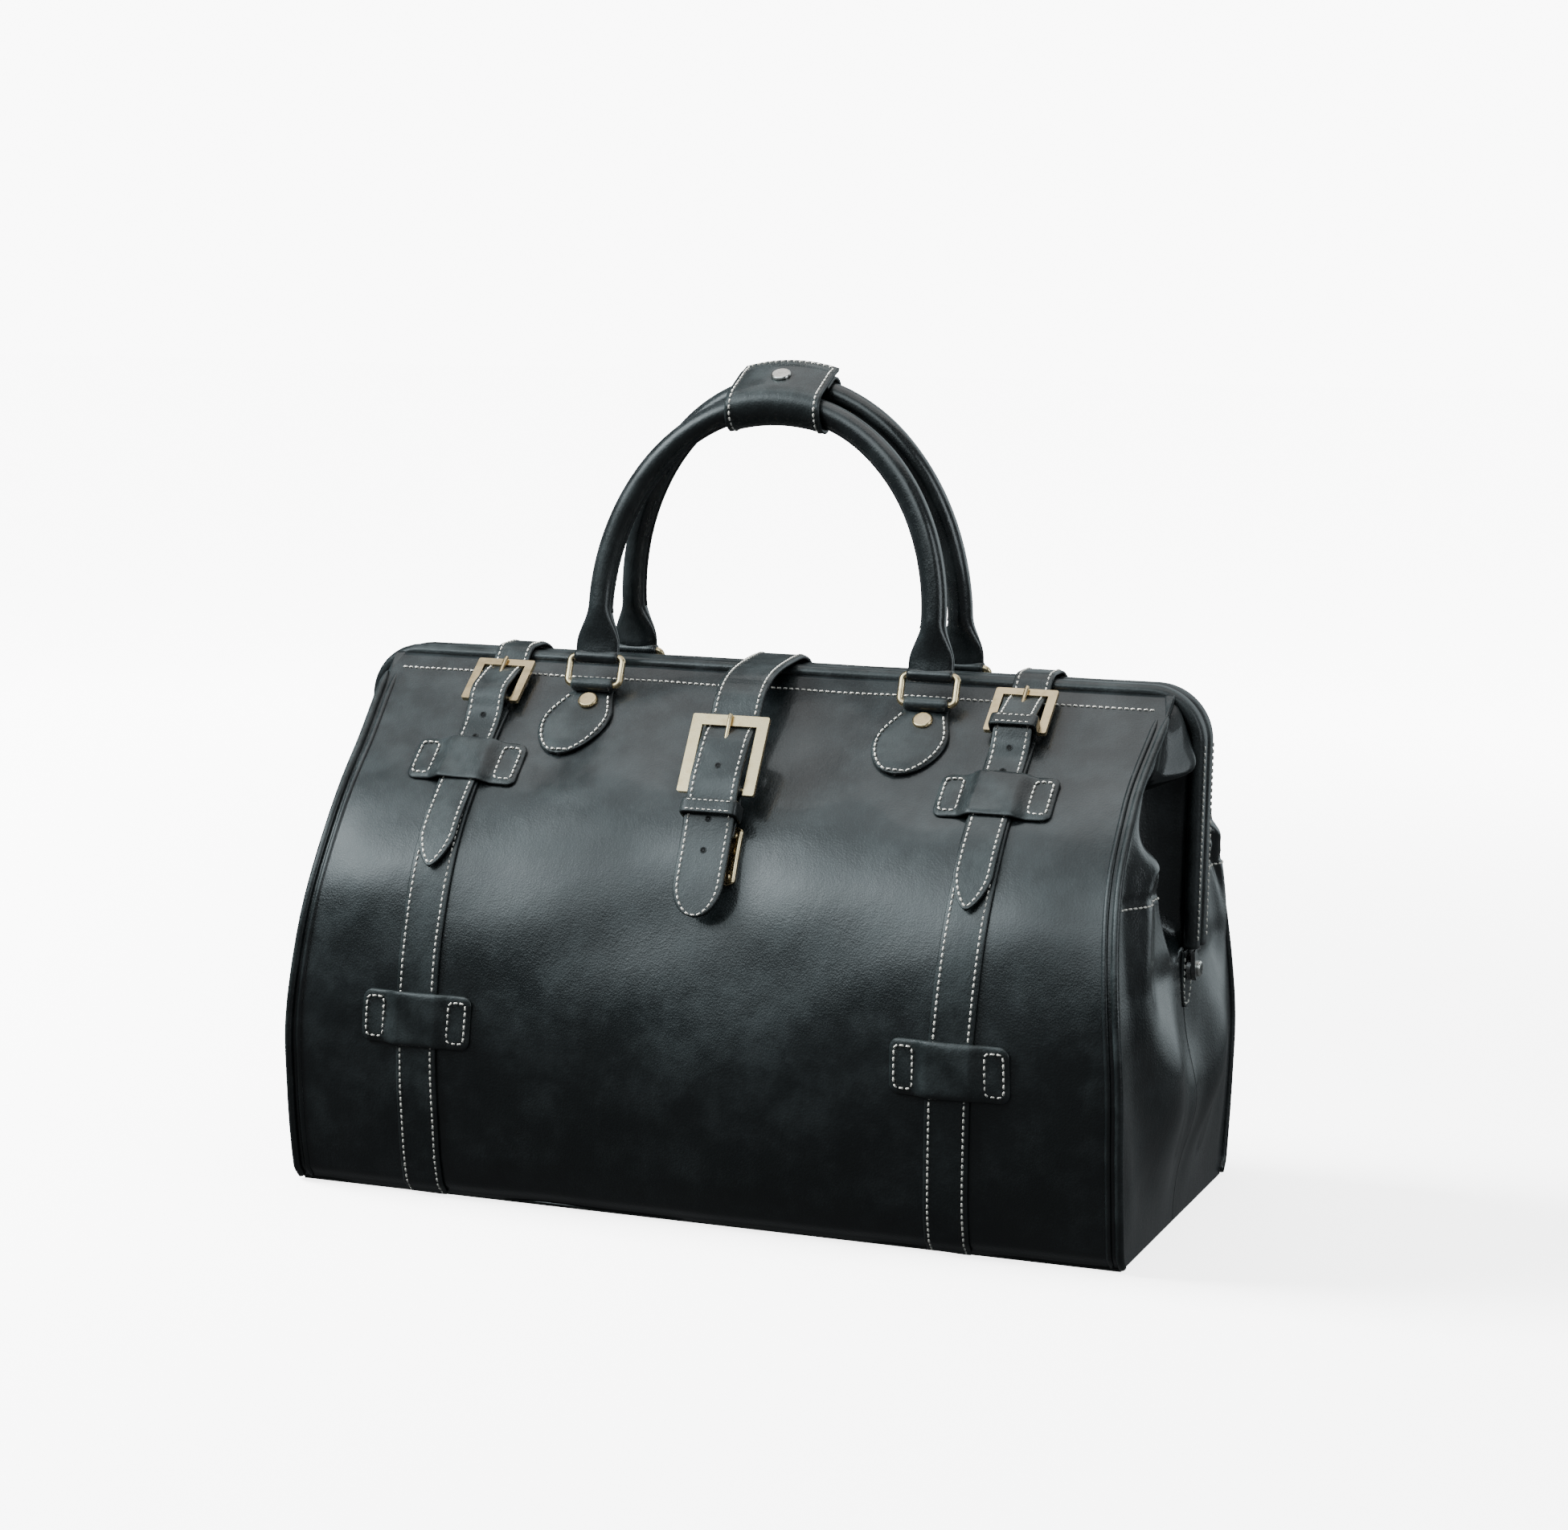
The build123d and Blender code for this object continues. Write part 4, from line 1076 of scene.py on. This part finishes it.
def tab(name, side, x):
    """A teardrop of padded leather under a ring, with a stitched border and its top turned round the bar."""
    v = np.linspace(0, 1, 60)[:, None]
    u = np.linspace(-1, 1, 44)[None, :]

    def half_width(v):
        swell = 0.0128 + 0.0087 * smooth(v / 0.52)
        end = 0.0215 * np.sqrt(np.clip(1 - (np.clip(v - 0.52, 0, 1) / 0.48) ** 1.8, 1e-5, 1))
        return np.where(v < 0.52, swell, np.maximum(end, 0.0004))

    top = float(share(top_z - 0.0185))
    long = 0.054 / skin_length

    def place(v, across):
        """The shell's x and share at v down the tab, which hangs a little towards the left end."""
        s = top - v * long
        return spread(x + across - 0.0075 * v, height_at(s)), s

    rolled = 0.0012 * np.abs(u) ** 10
    crown = 0.0009 * (1 - u**2) * smooth(v / 0.2) * smooth((1 - v) / 0.2)
    outer = shell(*place(v, u * half_width(v)), 0.0028 + crown - rolled, side)
    piece = slab(f"{name}_tab", outer, 0.0026, flip=side < 0)
    sit(piece, jaw_of(side), strap_hide)
    t = np.linspace(0.16, 0.955, 60)
    inset = 0.0026
    reach = np.maximum(half_width(t) - inset, 0.0)
    px, ps = place(np.concatenate([t, t[::-1]]), np.concatenate([reach, -reach[::-1]]))
    border = [(shell(px, ps, 0.0034, side), shell_normal(px, ps, side))]
    rows = stitches(f"{name}_tab_stitch", border, 0.0038, 0.0026)
    sit(rows, jaw_of(side), thread)
    return piece


def tabs(name, side):
    for end, sign in ENDS:
        x = sign * ring_x
        piece = tab(f"{name}_{end}", side, x)
        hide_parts(name + "_handle_tabs")
        y, z = joint_at[f"{name}_ring_{end}_swing"][1:]
        barrel(f"{name}_{end}_tab_turn", x, y, z, 0.0043, 0.0262, name + "_jaw", strap_hide, "strap_leather")
        foot_y, foot_z = on(z - 0.001, 0.0026)
        line = np.linspace([x, y, z], [x, side * abs(foot_y), foot_z - 0.004], 12)
        up = np.broadcast_to([0.0, side, 0.6], line.shape)
        neck, _ = strap(f"{name}_{end}_tab_neck", line, up, 0.0255, 0.0060)
        sit(neck, name + "_jaw", strap_hide)


def handle(name, side):
    """A stuffed grip on an arch, flattened into a foot round each ring, with a raised seam inside."""
    low = np.array(joint_at[f"{name}_handle_fold"][1:])
    peak = middle_of(name + "_handle")
    rise = peak - low
    tall = np.linalg.norm(rise)
    lift = rise / tall
    out = np.array([-lift[1], lift[0]])
    foot = 0.030
    a = np.linspace(0, math.pi, 200)
    arch = np.stack([ring_x * np.cos(a), foot + (tall - foot) * np.sin(a)], axis=1)
    leg = np.stack([np.full(30, ring_x), np.linspace(0.001, foot, 30, endpoint=False)], axis=1)
    flat = even(np.concatenate([leg, arch, leg[::-1] * np.array([-1, 1])]), 360)
    line = np.stack([flat[:, 0], low[0] + flat[:, 1] * lift[0], low[1] + flat[:, 1] * lift[1]], axis=1)
    t = smooth((flat[:, 1] - 0.007) / 0.024)
    wide = 0.0138 * (1 - t) + 0.0072 * t
    thick = 0.0036 * (1 - t) + 0.0072 * t
    wave = 1 + 0.010 * np.sin(flat[:, 0] * 120 + side) * np.sin(flat[:, 1] * 60)
    up = np.broadcast_to(np.array([0.0, out[0], out[1]]), line.shape)
    grip = sweep(name + "_grip", line, up, ring_of(30, 2.1), np.stack([wide * wave, thick * wave], axis=1))
    sit(grip, name + "_handle", grip_hide)
    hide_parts(name + "_handle")
    for end, sign in ENDS:
        turn = f"{name}_{end}_foot_turn"
        barrel(turn, sign * ring_x, *low, 0.0043, 0.0272, name + "_handle", grip_hide, "handle_leather")
    _, across, _ = frames(line, up)
    inward = -across if np.dot(across[180], [0, *lift]) > 0 else across
    body = (t > 0.9) & (np.abs(flat[:, 0]) > 0.029)
    stitch_turn = -0.34
    for end, sign in ENDS:
        keep = body & (flat[:, 0] * sign > 0)
        reach = (wide * wave)[keep, None]
        seam_line = line[keep] + inward[keep] * reach * 0.985
        seam = tube(f"{name}_grip_seam_{end}", seam_line, 0.0011, 8, up=(0.0, out[0], out[1]))
        sit(seam, name + "_handle", grip_hide)
        direction = inward[keep] * math.cos(stitch_turn) + up[keep] * math.sin(stitch_turn)
        run = (line[keep] + direction * reach, direction)
        rows = stitches(f"{name}_grip_stitch_{end}", [run])
        sit(rows, name + "_handle", thread)


def wrap():
    """The snap wrap: a strip sewn round the rear grip, and a flap from under both grips over the top."""
    a, b = middle_of("front_handle"), middle_of("back_handle")
    gap = np.linalg.norm(b - a)
    fore = (b - a) / gap
    rise = np.array([-fore[1], fore[0]])
    middle, radius, bend = (a + b) / 2, 0.0098, 0.0996
    length = 0.058

    def track(lift, start, stop, count):
        """Points round the slot that holds both grips, between two shares of a turn from under the middle."""
        t = np.linspace(0, 1, 2001)
        r = radius + lift
        arc, half = math.pi * r, gap / 2
        d = t * (2 * arc + 2 * gap)
        angle = (np.clip(d - half, 0, arc) + np.clip(d - 3 * half - arc, 0, arc)) / r
        leftward = np.clip(d, 0, half) + np.clip(d - 3 * half - 2 * arc, 0, half)
        across = np.clip(d - half - arc, 0, gap) - leftward
        p = np.stack([across - r * np.sin(angle), -r * np.cos(angle)], axis=1)
        keep = (t >= min(start, stop)) & (t <= max(start, stop))
        return even(p[keep], count)

    def strip(name, points, body):
        u = np.linspace(-1, 1, 40)[None, :, None]
        x = u[..., 0] * length / 2
        yz = middle + points[:, None, :1] * fore + points[:, None, 1:] * rise
        outer = np.stack([x + 0 * yz[..., 0], yz[..., 0] + 0 * x, yz[..., 1] - x**2 / (2 * bend)], axis=-1)
        piece = slab(name, outer, 0.0020)
        tidy_normals(piece)
        sit(piece, body, strap_hide)
        return outer, piece

    inner_points = track(0.0006, 0.5, 1.0, 90)
    _, sleeve = strip("wrap_strip", inner_points, "back_handle")
    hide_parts("wrap_sleeve")
    outer_points = track(0.0030, 0.0, 0.62, 110)
    tail = outer_points[-1] + np.linspace(0, 1, 14)[1:, None] * np.array([0.0075, -0.0008])
    split = gap / 2 + 0.0015
    both = [outer_points[outer_points[:, 0] < split], tail[tail[:, 0] > split]]
    outer_points = even(np.concatenate(both), 120)
    outer, flap = strip("wrap_flap_strip", outer_points, "wrap_flap")
    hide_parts("wrap_flap")
    runs = []
    normal = unit(np.cross(np.gradient(outer, axis=1), np.gradient(outer, axis=0)))
    centre = outer.mean(axis=(0, 1))
    if np.sum(normal * (outer - centre)) < 0:
        normal = -normal
    for column in (2, 37):
        runs.append((outer[4:-4, column] + normal[4:-4, column] * 0.0002, normal[4:-4, column]))
    runs.append((outer[-4, 2:38] + normal[-4, 2:38] * 0.0002, normal[-4, 2:38]))
    rows = stitches("wrap_stitch", runs, spacing=0.0036, long=0.0025)
    sit(rows, "wrap_flap", thread)


# ---- nodes that keep the frame's own shape ----
def finish_of(node):
    if "jaw_core" in node:
        return steel
    if node in ("snap_cap", "snap_stud", "hinge_pins"):
        return nickel
    metal = any(word in node for word in ("ring_", "buckle_", "prong", "rivets")) and node != "buckle_chapes"
    if metal or node in ("centre_buckle", "lock_case", "lock_tongue"):
        return brass
    return strap_hide


for node, thing in frame["nodes"].items():
    thing.data.materials.clear()
    thing.data.materials.append(finish_of(node))

for name, side in SIDES:
    panel(name, side)
    piping(name, side)
    jaw(name, side)
    seam_rows(name, side)
    low_straps(name, side)
    keepers(name, side)
    for end, sign in ENDS:
        gusset(name, side, end, sign)
    tabs(name, side)
    handle(name, side)
for end, sign in ENDS:
    side_strap(end, sign)
    tongue(end, sign)
base()
centre_strap()
lock_plate()
wrap()


# ---- the room ----
def soft_light(name, place, aim, wide, tall, power, tint=(1, 1, 1), polished=True):
    lamp = bpy.data.lights.new(name, "AREA")
    lamp.shape, lamp.size, lamp.size_y, lamp.energy, lamp.color = "RECTANGLE", wide, tall, power, tint
    holder = linked(name, lamp)
    holder.location = place
    holder.visible_glossy = polished
    direction = np.array(place, float) - np.array(aim, float)
    holder.rotation_euler = Vector(direction).to_track_quat("Z", "Y").to_euler()


def room():
    points = np.array([[-60, -60, 0], [60, -60, 0], [60, 60, 0], [-60, 60, 0]], float)
    floor = mesh("floor", points, [[0, 1, 2, 3]])
    pale = colour(0.95, 0.95, 0.95)
    f = Finish("pale_floor", Roughness=0.9, Base_Color=pale, Specular_IOR_Level=0.0, Emission_Strength=9.2)
    far = f.add("ShaderNodeVectorMath", {"operation": "LENGTH"}, {0: f.place()}, 1)
    f.feed("Emission Color", f.mix(far.between(0.5, 3.0), colour(0.40, 0.40, 0.40), colour(1, 1, 1)))
    floor.data.materials.append(f.material)
    floor.visible_glossy = False
    floor.visible_diffuse = False
    world = bpy.data.worlds.new("studio")
    bpy.context.scene.world = world
    world.use_nodes = True
    tree = world.node_tree
    dim = tree.nodes["Background"]
    dim.inputs[0].default_value, dim.inputs[1].default_value = (0.90, 0.96, 1.0, 1), 0.12
    seen = tree.nodes.new("ShaderNodeBackground")
    seen.inputs[0].default_value, seen.inputs[1].default_value = (1, 1, 1, 1), 9.5
    path, mix = tree.nodes.new("ShaderNodeLightPath"), tree.nodes.new("ShaderNodeMixShader")
    tree.links.new(path.outputs["Is Camera Ray"], mix.inputs[0])
    tree.links.new(dim.outputs[0], mix.inputs[1])
    tree.links.new(seen.outputs[0], mix.inputs[2])
    tree.links.new(mix.outputs[0], tree.nodes["World Output"].inputs[0])
    soft_light("window", (-1.9, -0.35, 1.75), (0, 0, 0.15), 1.3, 1.3, 380, polished=False)
    soft_light("ceiling", (0.1, 0.3, 2.3), (0, 0, 0.2), 2.6, 2.2, 60, polished=False)
    soft_light("overhead", (0.1, 0.3, 2.31), (0, 0, 0.2), 2.6, 2.2, 22)
    soft_light("side", (1.9, -0.5, 0.9), (0.1, 0, 0.2), 0.8, 1.3, 10, (0.85, 0.95, 1.0))
    cyan = colour(0.84, 0.96, 1.0)
    front_steps = ((0.0, 0.10, 0.30, 0.55, 0.93), (0.0, 0.05, 1.0, 0.26, 0.18))
    rear_steps = ((0.0, 0.12, 0.45, 0.8, 1.0), (0.0, 0.6, 1.0, 0.4, 0.0))
    glow("front_glow", (-80, 42), (6, 98), 8.5, cyan, *front_steps)
    glow("rear_glow", (118, 205), (-12, 70), 2.3, cyan, *rear_steps)


def glow(name, turns, rises, strength, tint, stops, shares):
    """A patch of a sphere that only polished surfaces see, lit by its height and softened towards its ends.

    Turn is in degrees from the front towards the right end, and rise is in degrees above the floor.
    """
    turn = np.radians(np.linspace(*turns, 40))[None, :]
    rise = np.radians(np.linspace(*rises, 30))[:, None]
    reach = 2.6
    points = np.stack(
        [np.cos(rise) * np.sin(turn), -np.cos(rise) * np.cos(turn), np.sin(rise) + 0 * turn], axis=-1
    ) * reach + np.array([0.0, 0.0, 0.2])
    uv = np.stack(np.meshgrid(np.linspace(0, 1, 40), np.linspace(0, 1, 30)), axis=-1)
    patch = mesh(name, points, quads(30, 40), uv)
    f = Finish(name, Roughness=1.0, Base_Color=colour(0, 0, 0), Emission_Strength=strength)
    at = f.add("ShaderNodeTexCoord", {}, {}, "UV")
    along, high = (f.add("ShaderNodeSeparateXYZ", {}, {0: at}, k) for k in (0, 1))
    level = 0.0
    for low_stop, high_stop, low_share, high_share in zip(stops, stops[1:], shares, shares[1:]):
        level = level + (high_share - low_share) * high.between(low_stop, high_stop)
    ends = along.between(0.0, 0.22) * (1 - 0.55 * along.between(0.3, 0.6)) * (1 - along.between(0.8, 1.0))
    cloud = f.noise(at, 3.2, 2.0).between(0.25, 0.65)
    f.feed("Emission Color", f.mix(level * ends * (0.45 + 0.55 * cloud), colour(0, 0, 0), tint))
    patch.data.materials.append(f.material)
    patch.visible_camera = False
    patch.visible_diffuse = False
    patch.visible_shadow = False


def camera():
    turn, rise, roll = math.radians(19.80), math.radians(7.035), math.radians(1.285)
    back = np.array([math.sin(turn) * math.cos(rise), -math.cos(turn) * math.cos(rise), math.sin(rise)])
    right = np.array([math.cos(turn), math.sin(turn), 0.0])
    up = np.cross(back, right)
    r = right * math.cos(roll) + up * math.sin(roll)
    u = -right * math.sin(roll) + up * math.cos(roll)
    lens = bpy.data.cameras.new("camera")
    lens.lens, lens.sensor_width = 77.7, 36.0
    eye = linked("camera", lens)
    m = np.eye(4)
    m[:3, 0], m[:3, 1], m[:3, 2], m[:3, 3] = r, u, back, (0.6788, -1.8723, 0.4956)
    eye.matrix_world = Matrix(m.tolist())
    bpy.context.scene.camera = eye


room()
camera()
